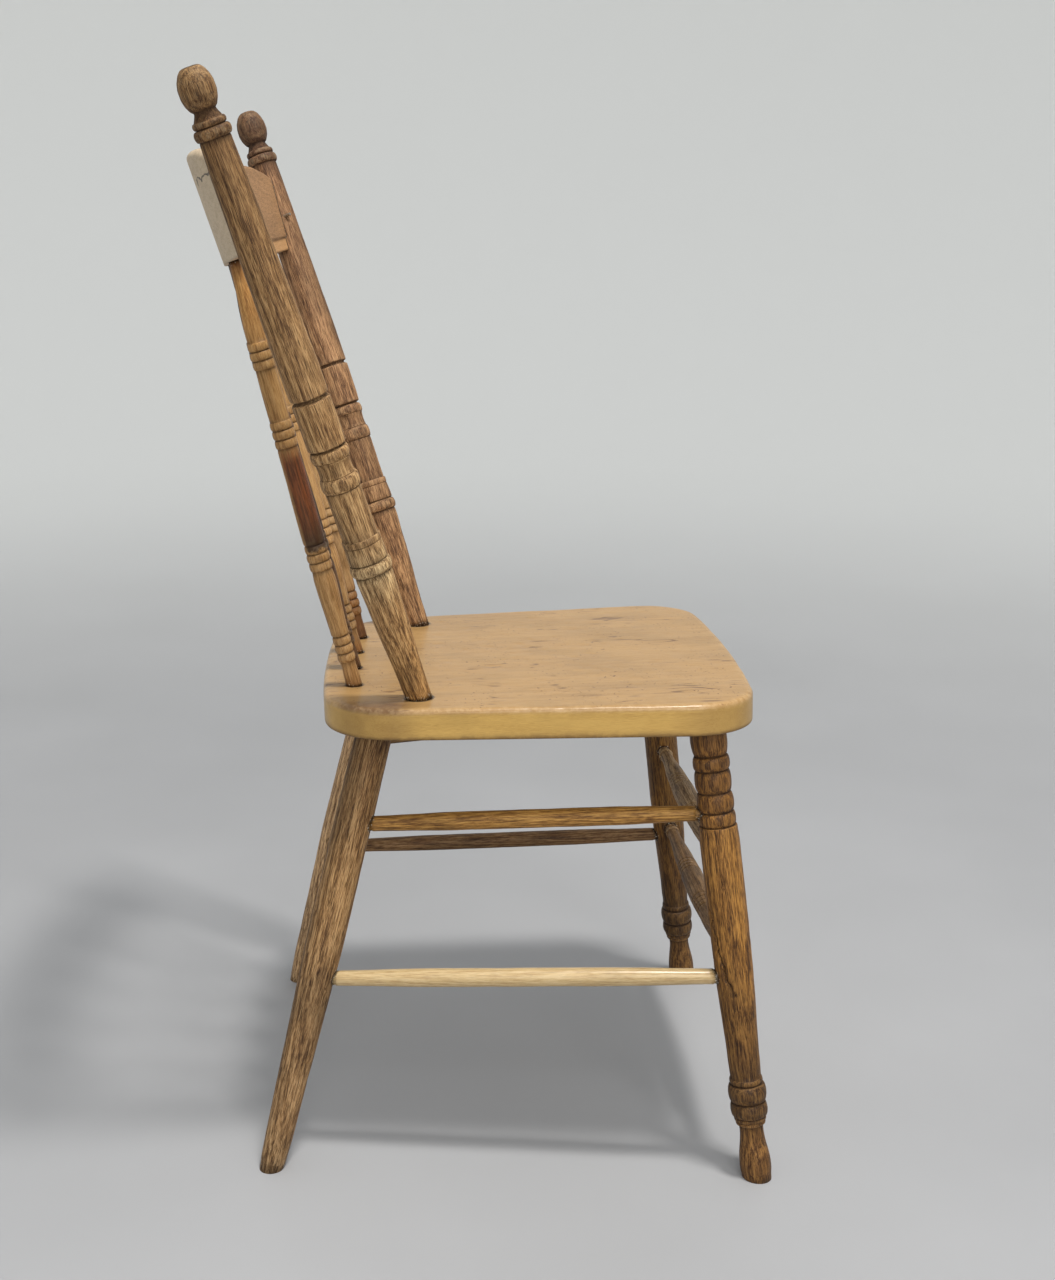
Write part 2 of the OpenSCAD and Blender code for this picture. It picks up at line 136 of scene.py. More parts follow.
def centred(points, middle, direction):
    """Refines an axis until each ring of vertices keeps one distance from it."""
    new_ring, stray, fewest = 0.15 * MM, 0.8 * MM, 12
    for _ in range(6):
        u, v = square_to(direction)
        offset = points - middle
        along = offset @ direction
        order = np.argsort(along)
        ring = np.zeros(len(points), int)
        ring[order] = np.r_[0, np.cumsum(np.diff(along[order]) > new_ring)]
        across = np.stack([offset @ u, offset @ v], 1)
        radius = np.hypot(*across.T)
        cosines = across / radius[:, None].clip(1e-6)
        columns = np.hstack([cosines, cosines * along[:, None]])
        rows, misses = [], []
        for i in range(ring.max() + 1):
            on = np.flatnonzero(ring == i)
            on = on[np.abs(radius[on] - np.median(radius[on])) < stray]
            if len(on) >= fewest:
                rows.append(columns[on] - columns[on].mean(0))
                misses.append(radius[on] - radius[on].mean())
        step = np.linalg.lstsq(np.vstack(rows), np.concatenate(misses), rcond=None)[0]
        middle = middle + step[0] * u + step[1] * v
        direction = unit(direction + step[2] * u + step[3] * v)
    return middle, direction


def rings_of(node, middle, direction, ring_points=8):
    """(distance along the axis, radius) of every full ring of vertices on a turned node."""
    offset = vertices_of(node) - middle
    along = offset @ direction
    radius = np.linalg.norm(offset - along[:, None] * direction, axis=1)
    cell = 0.1 * MM
    keys = np.stack([np.round(along / cell), np.round(radius / cell)], 1)
    _, which, counts = np.unique(keys, axis=0, return_inverse=True, return_counts=True)
    which = which.ravel()
    rings = [(along[which == i].mean(), radius[which == i].mean(), n)
             for i, n in enumerate(counts) if n >= ring_points]
    rings.sort()
    merged = []
    for a, r, _ in rings:
        close = [m for m in merged[-4:] if abs(m[0] - a) < 1.5 * cell and abs(m[1] - r) < 1.5 * cell]
        if not close:
            merged.append((a, r))
    return merged


def in_order(rings):
    """Rings sorted along the axis, where a flat shoulder's two rings follow the outline."""
    same_level = 0.15 * MM
    left = list(rings)
    path = [left.pop(0)]
    while left:
        level = [ring for ring in left if ring[0] - left[0][0] < same_level]
        nearest = min(level, key=lambda ring: abs(ring[1] - path[-1][1]))
        path.append(nearest)
        left.remove(nearest)
    return np.array(path)


def smooth_curve(s, values, where):
    """Monotone cubic interpolation: smooth, and never past a bead's top or a cut's bottom."""
    h = np.diff(s)
    slope = np.diff(values) / h
    tangent = np.zeros(len(s))
    same = slope[:-1] * slope[1:] > 0
    w1 = 2 * h[1:] + h[:-1]
    w2 = h[1:] + 2 * h[:-1]
    safe = np.where(same, slope[:-1] * slope[1:], 1)
    tangent[1:-1] = np.where(same, (w1 + w2) * safe / (w1 * slope[1:] + w2 * slope[:-1] + 1e-30), 0)
    tangent[0], tangent[-1] = slope[0], slope[-1]
    i = np.clip(np.searchsorted(s, where) - 1, 0, len(h) - 1)
    t = (where - s[i]) / h[i]
    return (values[i] * (1 + 2 * t) * (1 - t) ** 2 + tangent[i] * h[i] * t * (1 - t) ** 2
            + values[i + 1] * t * t * (3 - 2 * t) + tangent[i + 1] * h[i] * t * t * (t - 1))


def blurred(values, width):
    """values averaged over a bell of that width, in samples."""
    reach = int(3 * width)
    kernel = np.exp(-0.5 * (np.arange(-reach, reach + 1) / width) ** 2)
    padded = np.pad(values, reach, mode="edge")
    return np.convolve(padded, kernel / kernel.sum(), mode="valid")


class Turned:
    """The axis and outline of one turned piece, read from its CAD node."""

    STEP = 0.2 * MM        # between the points of the outline
    MARGIN = 1.2 * MM      # from a whole ring to the plane that cuts the end
    DEEP = 0.9 * MM        # depth of a cut, or height of a bead, that counts in full

    def __init__(self, node, toward, ends=()):
        self.node = node
        self.ends = ends
        self.middle, self.direction = turning_axis(node)
        if self.direction @ np.array(toward) < 0:
            self.direction = -self.direction
        found = rings_of(node, self.middle, self.direction)
        rings = in_order([ring for ring in found if self.is_whole(*ring)])
        chord = np.r_[0, np.cumsum(np.maximum(np.hypot(*np.diff(rings, axis=0).T), 1e-6))]
        s = np.arange(0, chord[-1], self.STEP)
        self.along = np.maximum.accumulate(smooth_curve(chord, rings[:, 0], s))
        self.radius = smooth_curve(chord, rings[:, 1], s)
        everywhere = vertices_of(node) @ self.direction - self.middle @ self.direction
        self.start, self.end = everywhere.min(), everywhere.max()

    def is_whole(self, along, radius):
        """True if the ring is clear of the planes that the piece's ends are cut to."""
        lean = [math.sqrt(max(0, 1 - (self.direction @ normal) ** 2)) for _, normal in self.ends]
        return all((self.point(along) - point) @ normal + radius * tilt < -self.MARGIN
                   for (point, normal), tilt in zip(self.ends, lean))

    def point(self, along):
        return self.middle + self.direction * along

    def radius_at(self, along):
        return np.interp(along, self.along, self.radius)

    def clearance(self, points):
        """How far world points are outside the turned surface."""
        offset = points - self.middle
        along = offset @ self.direction
        across = np.linalg.norm(offset - along[:, None] * self.direction, axis=1)
        past = np.maximum(np.maximum(self.start - along, along - self.end), 0)
        return np.hypot(np.maximum(across - self.radius_at(along), 0), past)

    def relief(self, along, width=3.5 * MM):
        """(cut, rim) at those distances: how deep in a cut, and how high on a bead, from 0 to 1."""
        even = np.arange(self.along[0], self.along[-1], self.STEP)
        radius = self.radius_at(even)
        height = (radius - blurred(radius, width / self.STEP)) / self.DEEP
        return (np.interp(along, even, np.clip(-height, 0, 1)),
                np.interp(along, even, np.clip(height, 0, 1)))


# ---------------- the members of the chair
UP = (0, 0, 1)
BACKWARD = (0, 1, 0)
LEFTWARD = (1, 0, 0)
SIDES = ("right", "left")

SEAT_TOP, SEAT_NORMAL = flat_face("seat", UP)
SEAT_UNDER, _ = flat_face("seat", (0, 0, -1))
RAIL_BOTTOM, RAIL_DOWN = flat_face("crest_rail", (0, -1, -3))
SINK = 1.0 * MM      # how far a cut end goes into the face it stands on
REACH = 14 * MM      # how far a turned piece is carried past its last whole ring before it is cut

ON_SEAT = (SEAT_TOP - SINK * SEAT_NORMAL, -SEAT_NORMAL)
UNDER_SEAT = (SEAT_UNDER + SINK * SEAT_NORMAL, SEAT_NORMAL)
UNDER_RAIL = (RAIL_BOTTOM - SINK * RAIL_DOWN, -RAIL_DOWN)
ON_FLOOR = (np.zeros(3), np.array([0, 0, -1.0]))

TURNED = {}
for side in SIDES:
    TURNED[f"post_{side}"] = Turned(f"post_{side}", UP, [ON_SEAT])
    for end in ("front", "rear"):
        TURNED[f"leg_{end}_{side}"] = Turned(f"leg_{end}_{side}", UP, [UNDER_SEAT, ON_FLOOR])
    for level in ("high", "low"):
        name = f"side_stretcher_{level}_{side}"
        TURNED[name] = Turned(name, BACKWARD)
for name in ("front_stretcher_high", "front_stretcher_low", "rear_stretcher"):
    TURNED[name] = Turned(name, LEFTWARD)
SPINDLES = [f"spindle_{i}" for i in range(1, 5)]
for name in SPINDLES:
    TURNED[name] = Turned(name, UP, [ON_SEAT, UNDER_RAIL])


# ---------------- making meshes
def waves(points, seed, size, count=14):
    """Smooth seeded unevenness from -1 to 1 over points, with features about that size."""
    rng = np.random.default_rng(seed)
    total = np.zeros(len(points))
    for _ in range(count):
        heading = unit(rng.normal(size=3))
        total += np.sin(points @ heading * 2 * math.pi / (size * rng.uniform(0.7, 1.6)) + rng.uniform(0, 6.3))
    return total / math.sqrt(count)


def grid_faces(rows, columns, closed):
    """Quads between rows of a grid of vertices; closed joins the last column to the first."""
    last = columns if closed else columns - 1
    return [(i * columns + j, i * columns + (j + 1) % columns,
             (i + 1) * columns + (j + 1) % columns, (i + 1) * columns + j)
            for i in range(rows - 1) for j in range(last)]


def capped_grid(rows, columns):
    """Faces of rings of vertices, closed by a pole in the first ring and then one in the last."""
    faces = grid_faces(rows, columns, closed=True)
    pole, last = rows * columns, (rows - 1) * columns
    faces += [(pole, (j + 1) % columns, j) for j in range(columns)]
    faces += [(pole + 1, last + j, last + (j + 1) % columns) for j in range(columns)]
    return faces


def placed(name, data, matrix):
    """A new object in the scene."""
    thing = bpy.data.objects.new(name, data)
    thing.matrix_world = matrix
    bpy.context.scene.collection.objects.link(thing)
    return thing


def new_piece(name, vertices, faces, matrix):
    mesh = bpy.data.meshes.new(name)
    mesh.from_pydata(vertices.tolist(), [], faces)
    mesh.validate()
    return placed(name, mesh, matrix)


def place_of(origin, axes):
    """The matrix of a piece with that origin, whose own axes are the columns of axes."""
    matrix = Matrix(axes.tolist()).to_4x4()
    matrix.translation = Vector(origin)
    return matrix


def smooth_shade(piece):
    piece.data.polygons.foreach_set("use_smooth", [True] * len(piece.data.polygons))


def world_points(piece):
    matrix = np.array(piece.matrix_world)
    return points_of(piece.data) @ matrix[:3, :3].T + matrix[:3, 3]


def move_points(piece, points):
    piece.data.vertices.foreach_set("co", points.ravel())


def set_attribute(piece, name, values):
    attribute = piece.data.attributes.new(name, "FLOAT", "POINT")
    attribute.data.foreach_set("value", np.asarray(values, np.float32))


def cut_off(piece, point, normal):
    """Cuts away what lies on the normal's side of a world plane, and closes the cut."""
    inverse = piece.matrix_world.inverted()
    local_point = inverse @ Vector(point)
    local_normal = inverse.to_3x3() @ Vector(normal)
    shape = bmesh.new()
    shape.from_mesh(piece.data)
    everything = shape.verts[:] + shape.edges[:] + shape.faces[:]
    made = bmesh.ops.bisect_plane(shape, geom=everything, dist=1e-7, plane_co=local_point,
                                  plane_no=local_normal, clear_outer=True)
    rim = [e for e in made["geom_cut"] if isinstance(e, bmesh.types.BMEdge) and e.is_boundary]
    closing = bmesh.ops.edgeloop_fill(shape, edges=rim)["faces"]
    for face in closing:
        face.normal_update()
        if face.normal.dot(local_normal) < 0:
            face.normal_flip()
    bmesh.ops.poke(shape, faces=closing)
    shape.to_mesh(piece.data)
    shape.free()


def kept_samples(turned, start, end, close_zones, turn=0.2, longest=4 * MM, close=1.2 * MM):
    """Where along a piece to put rings: often where the outline turns, and in the close zones."""
    inside = (turned.along >= start) & (turned.along <= end)
    along = np.r_[start, turned.along[inside], end]
    radius = np.r_[turned.radius_at(start), turned.radius[inside], turned.radius_at(end)]
    steps = np.diff(np.stack([along, radius], 1), axis=0)
    length = np.maximum(np.hypot(*steps.T), 1e-9)
    angle = np.unwrap(np.arctan2(steps[:, 1], steps[:, 0]))
    keep = [0]
    turned_by = travelled = 0.0
    for i in range(1, len(along) - 1):
        turned_by += abs(angle[i] - angle[i - 1])
        travelled += length[i - 1]
        in_zone = any(low <= along[i] <= high for low, high in close_zones)
        if turned_by >= turn or travelled >= (close if in_zone else longest):
            keep.append(i)
            turned_by = travelled = 0.0
    keep.append(len(along) - 1)
    return along[keep], radius[keep]


def lathe(turned, start, end, segments, close_zones):
    """A closed piece turned about its axis from start to end, with its local +Z along the axis."""
    along, radius = kept_samples(turned, start, end, close_zones)
    z_axis = turned.direction
    x_axis = unit(np.cross(BACKWARD if abs(z_axis[1]) < 0.8 else UP, z_axis))
    matrix = place_of(turned.point(start), np.column_stack([x_axis, np.cross(z_axis, x_axis), z_axis]))
    angle = np.arange(segments) * 2 * math.pi / segments
    a, t = np.meshgrid(along - start, angle, indexing="ij")
    r = np.repeat(radius[:, None], segments, 1)
    vertices = np.stack([r * np.cos(t), r * np.sin(t), a], -1).reshape(-1, 3)
    vertices = np.vstack([vertices, [[0, 0, 0], [0, 0, along[-1] - start]]])
    return new_piece(f"{turned.node}_wood", vertices, capped_grid(len(along), segments), matrix)


def age(piece, seed, knocks, out_of_round=0.004, dents=0.12 * MM):
    """Makes a turned piece a little oval and uneven, with some seeded knocks."""
    rng = np.random.default_rng(seed)
    points = points_of(piece.data)
    radius = np.hypot(points[:, 0], points[:, 1])
    angle = np.arctan2(points[:, 1], points[:, 0])
    outward = np.stack([np.cos(angle), np.sin(angle), np.zeros(len(points))], 1)
    change = radius * out_of_round * np.sin(2 * angle + rng.uniform(0, 6.3))
    change += dents * waves(points, seed + 1, 28 * MM) + 0.4 * dents * waves(points, seed + 2, 7 * MM)
    solid = points[radius > radius.max() * 0.6]
    for _ in range(knocks):
        centre = solid[rng.integers(len(solid))]
        size = rng.uniform(1.6, 4.2) * MM
        gap = (points - centre) / (size * np.array([1, 1, rng.uniform(1, 2.2)]))
        change -= rng.uniform(0.25, 0.8) * MM * np.exp(-(gap ** 2).sum(1))
    change = np.minimum(change - 0.5 * (dents + radius.max() * out_of_round), 0)
    away_from_axis = np.clip(radius / (4 * MM), 0, 1)
    move_points(piece, points + outward * (change * away_from_axis)[:, None])


def turn_piece(node, seed, segments, knocks, close_zones):
    """The visual piece of a turned node, with its ends cut to the planes it stands against."""
    turned = TURNED[node]
    start, end = turned.along[0], turned.along[-1]
    for _, normal in turned.ends:
        if normal @ turned.direction < 0:
            start -= REACH
        else:
            end += REACH
    piece = lathe(turned, start, end, segments, close_zones)
    age(piece, seed, knocks)
    if node.startswith("leg"):
        wear_foot(piece)
    for plane in turned.ends:
        cut_off(piece, *plane)
    return piece


def wear_foot(piece, height=5 * MM, most=1.0 * MM):
    """Rounds the bottom edge of a leg."""
    low = np.clip(1 - world_points(piece)[:, 2] / height, 0, 1) ** 2
    local = points_of(piece.data)
    local[:, :2] *= 1 - (most * low / np.hypot(local[:, 0], local[:, 1]).max())[:, None]
    move_points(piece, local)


def new_board(name, vertices, faces, origin, axes):
    """A closed piece made from world vertices, with that origin and those axes."""
    piece = new_piece(name, (vertices - origin) @ axes, faces, place_of(origin, axes))
    shape = bmesh.new()
    shape.from_mesh(piece.data)
    bmesh.ops.recalc_face_normals(shape, faces=shape.faces[:])
    shape.to_mesh(piece.data)
    shape.free()
    return piece


# ---------------- the seat
SEAT_ACROSS = unit(np.cross(BACKWARD, SEAT_NORMAL))
SEAT_BACK = np.cross(SEAT_NORMAL, SEAT_ACROSS)
SEAT_THICKNESS = (SEAT_TOP - SEAT_UNDER) @ SEAT_NORMAL
NOSE = 5 * MM            # rounding of the seat's top edge
UNDER_EASE = 2 * MM      # rounding of its bottom edge
TOP_RINGS = 60           # rings of the seat's top, from its middle, that may have a dent


def seat_outline(count=480):
    """Evenly spaced points round the seat, seen square on, and the inward normals there."""
    offset = vertices_of("seat") - SEAT_TOP
    flat = np.stack([offset @ SEAT_ACROSS, offset @ SEAT_BACK], 1)
    hull = flat[hull_of(flat)]
    closed = np.vstack([hull, hull[:1]])
    run = np.r_[0, np.cumsum(np.hypot(*np.diff(closed, axis=0).T))]
    where = np.linspace(0, run[-1], count, endpoint=False)
    even = np.stack([np.interp(where, run, closed[:, k]) for k in (0, 1)], 1)
    width = 7 * MM / (run[-1] / count)
    wrapped = np.vstack([even] * 3)
    even = np.stack([blurred(wrapped[:, k], width) for k in (0, 1)], 1)[count:2 * count]
    tangent = np.roll(even, -1, 0) - np.roll(even, 1, 0)
    inward = np.stack([-tangent[:, 1], tangent[:, 0]], 1) / np.hypot(*tangent.T)[:, None]
    if ((even.mean(0) - even) * inward).sum() < 0:
        inward = -inward
    return even, inward


def seat_section():
    """(share of the way from the middle to the border, inset, depth) of each ring of the seat's skin."""
    border = 24 * MM
    rings = [(share, border, 0) for share in np.linspace(0.015, 1, 64)]
    rings += [(1, inset, 0) for inset in np.linspace(border, NOSE, 9)[1:-1]]
    for turn in np.linspace(0, math.pi / 2, 10):
        rings.append((1, NOSE * (1 - math.sin(turn)), NOSE * (1 - math.cos(turn))))
    low = SEAT_THICKNESS - UNDER_EASE
    rings += [(1, 0, depth) for depth in np.linspace(NOSE, low, 12)[1:-1]]
    for turn in np.linspace(0, math.pi / 2, 5):
        rings.append((1, UNDER_EASE * (1 - math.cos(turn)), low + UNDER_EASE * math.sin(turn)))
    rings += [(1, inset, SEAT_THICKNESS) for inset in np.linspace(UNDER_EASE, border, 5)[1:]]
    rings += [(share, border, SEAT_THICKNESS) for share in np.linspace(1, 0.015, 24)[1:]]
    return rings


def seat_skin(outline, inward):
    """The seat's rings of vertices and its two poles, and how much each vertex is on the worn top edge."""
    middle = outline.mean(0)
    wear = (0.35 * waves(np.hstack([outline, outline[:, :1] * 0]), 42, 60 * MM)).clip(0, 1)
    most_in, most_down = 0.9 * MM, 0.3 * MM
    rings, nose = [], []
    for share, inset, depth in seat_section():
        near_edge = max(0.0, 1 - math.hypot(inset, depth) / (1.6 * NOSE))
        on_nose = near_edge if depth < NOSE * 1.2 else 0.0
        flat = middle + share * (outline + inward * inset - middle)
        flat = flat + inward * (wear * on_nose * most_in)[:, None]
        rings.append(SEAT_TOP + flat[:, :1] * SEAT_ACROSS + flat[:, 1:] * SEAT_BACK
                     - (depth + on_nose * most_down) * SEAT_NORMAL)
        nose.append(np.full(len(outline), on_nose))
    return np.vstack([*rings, rings[0].mean(0), rings[-1].mean(0)]), np.concatenate([*nose, [0, 0]])


def dent_top(vertices, depth, rng, reach, dents=70):
    """Lowers the seat's top here and there: shallow worn hollows, and dents round some early vertices."""
    sink = 0.22 * MM * (1 + waves(vertices, 43, 90 * MM)).clip(0)
    sink += 0.05 * MM * (1 + waves(vertices, 44, 14 * MM)).clip(0)
    for _ in range(dents):
        spot = vertices[rng.integers(reach)]
        size = rng.uniform(2.5, 7) * MM
        sink += rng.uniform(0.1, 0.5) * MM * np.exp(-((vertices - spot) ** 2).sum(1) / size ** 2)
    top = np.clip(1 - depth / (2 * MM), 0, 1)
    return vertices - SEAT_NORMAL * (sink * top)[:, None]


def chip_edge(vertices, nose, core, rng, chips=26):
    """Takes small chips out of the seat's top edge, towards its core."""
    chip = np.zeros(len(vertices))
    edge = np.flatnonzero((nose > 0.45) & (nose < 0.9))
    for _ in range(chips):
        spot = vertices[rng.choice(edge)]
        size = rng.uniform(1.0, 4.5) * MM
        hit = np.exp(-((vertices - spot) ** 2).sum(1) / size ** 2)
        chip = np.maximum(chip, hit * rng.uniform(0.5, 1))
    pull = core - vertices
    pull /= np.linalg.norm(pull, axis=1)[:, None]
    return vertices + pull * (0.9 * MM * chip)[:, None]


def seat_piece():
    """The seat: a flat plank whose top edge is rounded, worn and chipped."""
    outline, inward = seat_outline()
    count = len(outline)
    vertices, nose = seat_skin(outline, inward)
    depth = (SEAT_TOP - vertices) @ SEAT_NORMAL
    core = SEAT_TOP + outline[:, 0].mean() * SEAT_ACROSS - SEAT_NORMAL * SEAT_THICKNESS / 2
    rng = np.random.default_rng(41)
    vertices = dent_top(vertices, depth, rng, reach=count * TOP_RINGS)
    vertices = chip_edge(vertices, nose, core, rng)
    axes = np.column_stack([SEAT_ACROSS, -SEAT_NORMAL, SEAT_BACK])
    faces = capped_grid(len(vertices) // count, count)
    piece = new_board("seat_plank", vertices, faces, SEAT_TOP, axes)
    # The lowest part of the seat's edge and its underside count as a cut, so they are darker, as the cuts of
    # the turned pieces are
    dark_from, dark_over = 0.86 * SEAT_THICKNESS, 0.14 * SEAT_THICKNESS
    set_attribute(piece, "cut", np.clip((depth - dark_from) / dark_over, 0, 1))
    set_attribute(piece, "rim", nose)
    return piece


# ---------------- the crest rail
RAIL_UP = -RAIL_DOWN
RAIL_BACK = unit(np.cross(RAIL_UP, LEFTWARD))


def rail_arcs():
    """Where the rail's bow is centred, along RAIL_BACK, and the radii of its front and its back face."""
    offset = vertices_of("crest_rail") - RAIL_BOTTOM
    low = offset[np.abs(offset @ RAIL_UP) < 0.1 * MM]
    flat = np.stack([low[:, 0], low @ RAIL_BACK], 1)
    hull = flat[hull_of(flat)]
    bow = hull[np.abs(hull[:, 0]) < np.abs(hull[:, 0]).max() * 0.8]
    columns = np.stack([2 * bow[:, 1], np.ones(len(bow))], 1)
    centre, rest = np.linalg.lstsq(columns, (bow ** 2).sum(1), rcond=None)[0]
    front = np.hypot(flat[:, 0], flat[:, 1] - centre).min()
    return centre, front, math.sqrt(rest + centre ** 2)


def rail_height(x):
    """Height of the rail's top edge above its bottom edge, from the outline of its CAD node."""
    points = vertices_of("crest_rail")
    up = (points - RAIL_BOTTOM) @ RAIL_UP
    corners = hull_of(np.stack([points[:, 0], up], 1))
    upper = sorted((points[i, 0], up[i]) for i in corners if up[i] > 40 * MM)
    xs, heights = np.array(upper).T
    return np.interp(x, xs, heights)


def rail_section(rows=44):
    """(across, level) round the rail's section, from -1 on its front to 1 on its back; above level 1 is the
    rounded top edge.
    """
    ring = [(-1, level) for level in np.linspace(0, 1, rows)]
    ring += [(-math.cos(turn), 1 + math.sin(turn)) for turn in np.linspace(0, math.pi, 15)[1:-1]]
    ring += [(1, level) for level in np.linspace(1, 0, rows)]
    return ring + [(across, 0) for across in np.linspace(1, -1, 6)[1:-1]]


def rail_piece():
    """The rail: bowed, with a rounded top edge, a step along its lower front and its ends in the posts."""
    centre, front_radius, back_radius = rail_arcs()
    middle_radius, half = (front_radius + back_radius) / 2, (back_radius - front_radius) / 2
    step_up, step_in, step_blend = 12.5 * MM, 1.5 * MM, 1.2 * MM
    bull, groove, in_post, back_wear = 6.5 * MM, 1.0 * MM, 4 * MM, 0.1 * MM
    origin, columns = RAIL_BOTTOM * [0, 1, 1], 150
    spread = np.sin(np.linspace(-math.pi / 2, math.pi / 2, columns))
    post = TURNED["post_left"]
    vertices, side_of, cut = [], [], []
    ring = rail_section()
    for across, level in ring:
        x = spread * post.middle[0]
        for _ in range(4):
            top = rail_height(x) - bull
            up = top * min(level, 1) + bull * max(level - 1, 0)
            at_post = (RAIL_BOTTOM[2] + up * RAIL_UP[2] - post.middle[2]) / post.direction[2]
            x = spread * (post.middle[0] + post.direction[0] * at_post - in_post)
        in_step = np.clip((step_up - up) / step_blend + 0.5, 0, 1) * (across == -1)
        radius = middle_radius + half * across + step_in * in_step
        angle = np.arcsin(x / middle_radius)
        vertices.append(origin + np.outer(radius * np.sin(angle), LEFTWARD)
                        + np.outer(centre + radius * np.cos(angle), RAIL_BACK) + np.outer(up, RAIL_UP))
        side_of.append(np.full(columns, (across + 1) / 2))
        cut.append(np.exp(-((up - step_up) / groove) ** 2) * (across == -1))
    count = len(ring)
    vertices = np.vstack(vertices)
    faces = grid_faces(count, columns, closed=False)
    faces += [((count - 1) * columns + j, (count - 1) * columns + j + 1, j + 1, j)
              for j in range(columns - 1)]
    faces.append([i * columns for i in range(count)])
    faces.append([i * columns + columns - 1 for i in range(count)][::-1])
    axes = np.column_stack([-RAIL_BACK, RAIL_UP, LEFTWARD])
    vertices = vertices - np.outer(back_wear * (1 + waves(vertices, 61, 40 * MM)), RAIL_BACK)
    piece = new_board("crest_rail_board", vertices, faces, origin, axes)
    set_attribute(piece, "back_face", np.concatenate(side_of))
    set_attribute(piece, "cut", np.concatenate(cut))
    set_attribute(piece, "rim", np.zeros(len(vertices)))
    return piece


# ---------------- materials
def linear(red, green, blue):
    """A screen colour, 0 to 255, as the shader's own numbers."""
    def one(v):
        v /= 255
        return v / 12.92 if v <= 0.04045 else ((v + 0.055) / 1.055) ** 2.4
    return (one(red), one(green), one(blue), 1)


class Shader:
    """One material and short ways to add nodes to it."""

    def __init__(self, name):
        self.material = bpy.data.materials.new(name)
        self.material.use_nodes = True
        self.tree = self.material.node_tree
        self.tree.nodes.clear()

    def add(self, kind, inputs, **settings):
        node = self.tree.nodes.new("ShaderNode" + kind)
        for key, value in settings.items():
            setattr(node, key, value)
        for key, value in inputs.items():
            if isinstance(value, bpy.types.NodeSocket):
                self.tree.links.new(value, node.inputs[key])
            else:
                node.inputs[key].default_value = value
        return node

    def math(self, operation, a, b=0.0, clamp=False):
        return self.add("Math", {0: a, 1: b}, operation=operation, use_clamp=clamp).outputs[0]

    def times(self, a, b, clamp=False):
        return self.math("MULTIPLY", a, b, clamp)

    def vector(self, operation, a, b=(0, 0, 0)):
        return self.add("VectorMath", {0: a, 1: b}, operation=operation).outputs[0]

    def length(self, a):
        return self.add("VectorMath", {0: a}, operation="LENGTH").outputs["Value"]

    def noise(self, place, size, detail=2.0, rough=0.5, colour=False):
        """Noise with features about that size, in metres."""
        inputs = {"Vector": place, "Scale": 1 / size, "Detail": detail, "Roughness": rough}
        return self.add("TexNoise", inputs).outputs[1 if colour else 0]

    def drawn_out(self, place, share):
        """The place squeezed along Z, so that what follows it is drawn out along Z."""
        return self.vector("MULTIPLY", place, (1, 1, share))

    def wobble(self, place, size, amount, detail, rough):
        """Noise about 0, from about -amount / 2 to amount / 2."""
        return self.times(self.math("SUBTRACT", self.noise(place, size, detail, rough), 0.5), amount)

    def steps(self, value, low, high, to_low=0.0, to_high=1.0):
        """A smooth step from to_low at low to to_high at high."""
        inputs = {"Value": value, "From Min": low, "From Max": high, "To Min": to_low, "To Max": to_high}
        return self.add("MapRange", inputs, interpolation_type="SMOOTHSTEP").outputs[0]

    def mix(self, share, a, b, blend="MIX"):
        node = self.add("Mix", {0: share, 6: a, 7: b}, data_type="RGBA", blend_type=blend)
        return node.outputs[2]

    def ramp(self, value, stops):
        node = self.add("ValToRGB", {0: value})
        elements = node.color_ramp.elements
        while len(elements) < len(stops):
            elements.new(0.5)
        for element, (position, colour) in zip(elements, stops):
            element.position = position
            element.color = colour
        return node.outputs[0]

    def attribute(self, name):
        return self.add("Attribute", {}, attribute_name=name).outputs["Fac"]

    def bump(self, height, strength, distance):
        return self.add("Bump", {"Height": height, "Strength": strength, "Distance": distance}).outputs[0]

    def finished(self, colour, rough, **inputs):
        """The material, ended with a surface of that colour and roughness."""
        inputs = {name.replace("_", " "): value for name, value in inputs.items()}
        surface = self.add("BsdfPrincipled", {"Base Color": colour, "Roughness": rough, **inputs})
        self.add("OutputMaterial", {"Surface": surface.outputs[0]})
        return self.material


FINISH_DEFAULTS = dict(
    ring=2.6 * MM,             # spacing of the growth rings
    pith=(9 * MM, 5 * MM),     # where the middle of the tree is, across the piece
    ring_share=0.06, streak_share=0.36, contrast=1.5, streak=1.5 * MM,
    pores=0.6, pore_size=0.55 * MM, blotch=0.35, bands=None, rough=0.55, bump=0.5, coat=0.0, gloss=0.25,
    dirt=0.75, dirt_colour=(38, 24, 13), wear=0.3, wear_colour=(205, 180, 140),
    seam_colour=(30, 19, 11), specks=0.5, speck_colour=(222, 214, 196),
)
FIBRE = 0.5 * MM           # width of the finest fibres
GRAIN_STRETCH = 0.045      # how much slower the grain changes along the piece than across it


def wood_grain(g, f, place, moved):
    """(rings, streaks, fibres, pores) of wood that grew along the piece's own Z."""
    bend = g.noise(g.drawn_out(moved, 0.12), 34 * MM, 2, 0.5, colour=True)
    bend = g.vector("MULTIPLY", g.vector("SUBTRACT", bend, (0.5, 0.5, 0.5)), (7 * MM, 7 * MM, 0))
    grain = g.drawn_out(g.vector("ADD", moved, bend), GRAIN_STRETCH)
    pore_grain = g.drawn_out(g.vector("ADD", moved, bend), 0.035)
    ringed = g.drawn_out(g.vector("ADD", place, bend), 0.035)
    from_pith = g.length(g.vector("SUBTRACT", ringed, (*f["pith"], 0)))
    wave = g.math("SINE", g.times(from_pith, 2 * math.pi / f["ring"]))
    streaks = g.noise(grain, f["streak"], 4, 0.62)
    fibres = g.noise(grain, FIBRE, 3, 0.7)
    pores = g.steps(g.noise(pore_grain, f["pore_size"], 2, 0.55), 0.56, 0.68)
    return g.steps(wave, -1, 1), streaks, fibres, pores


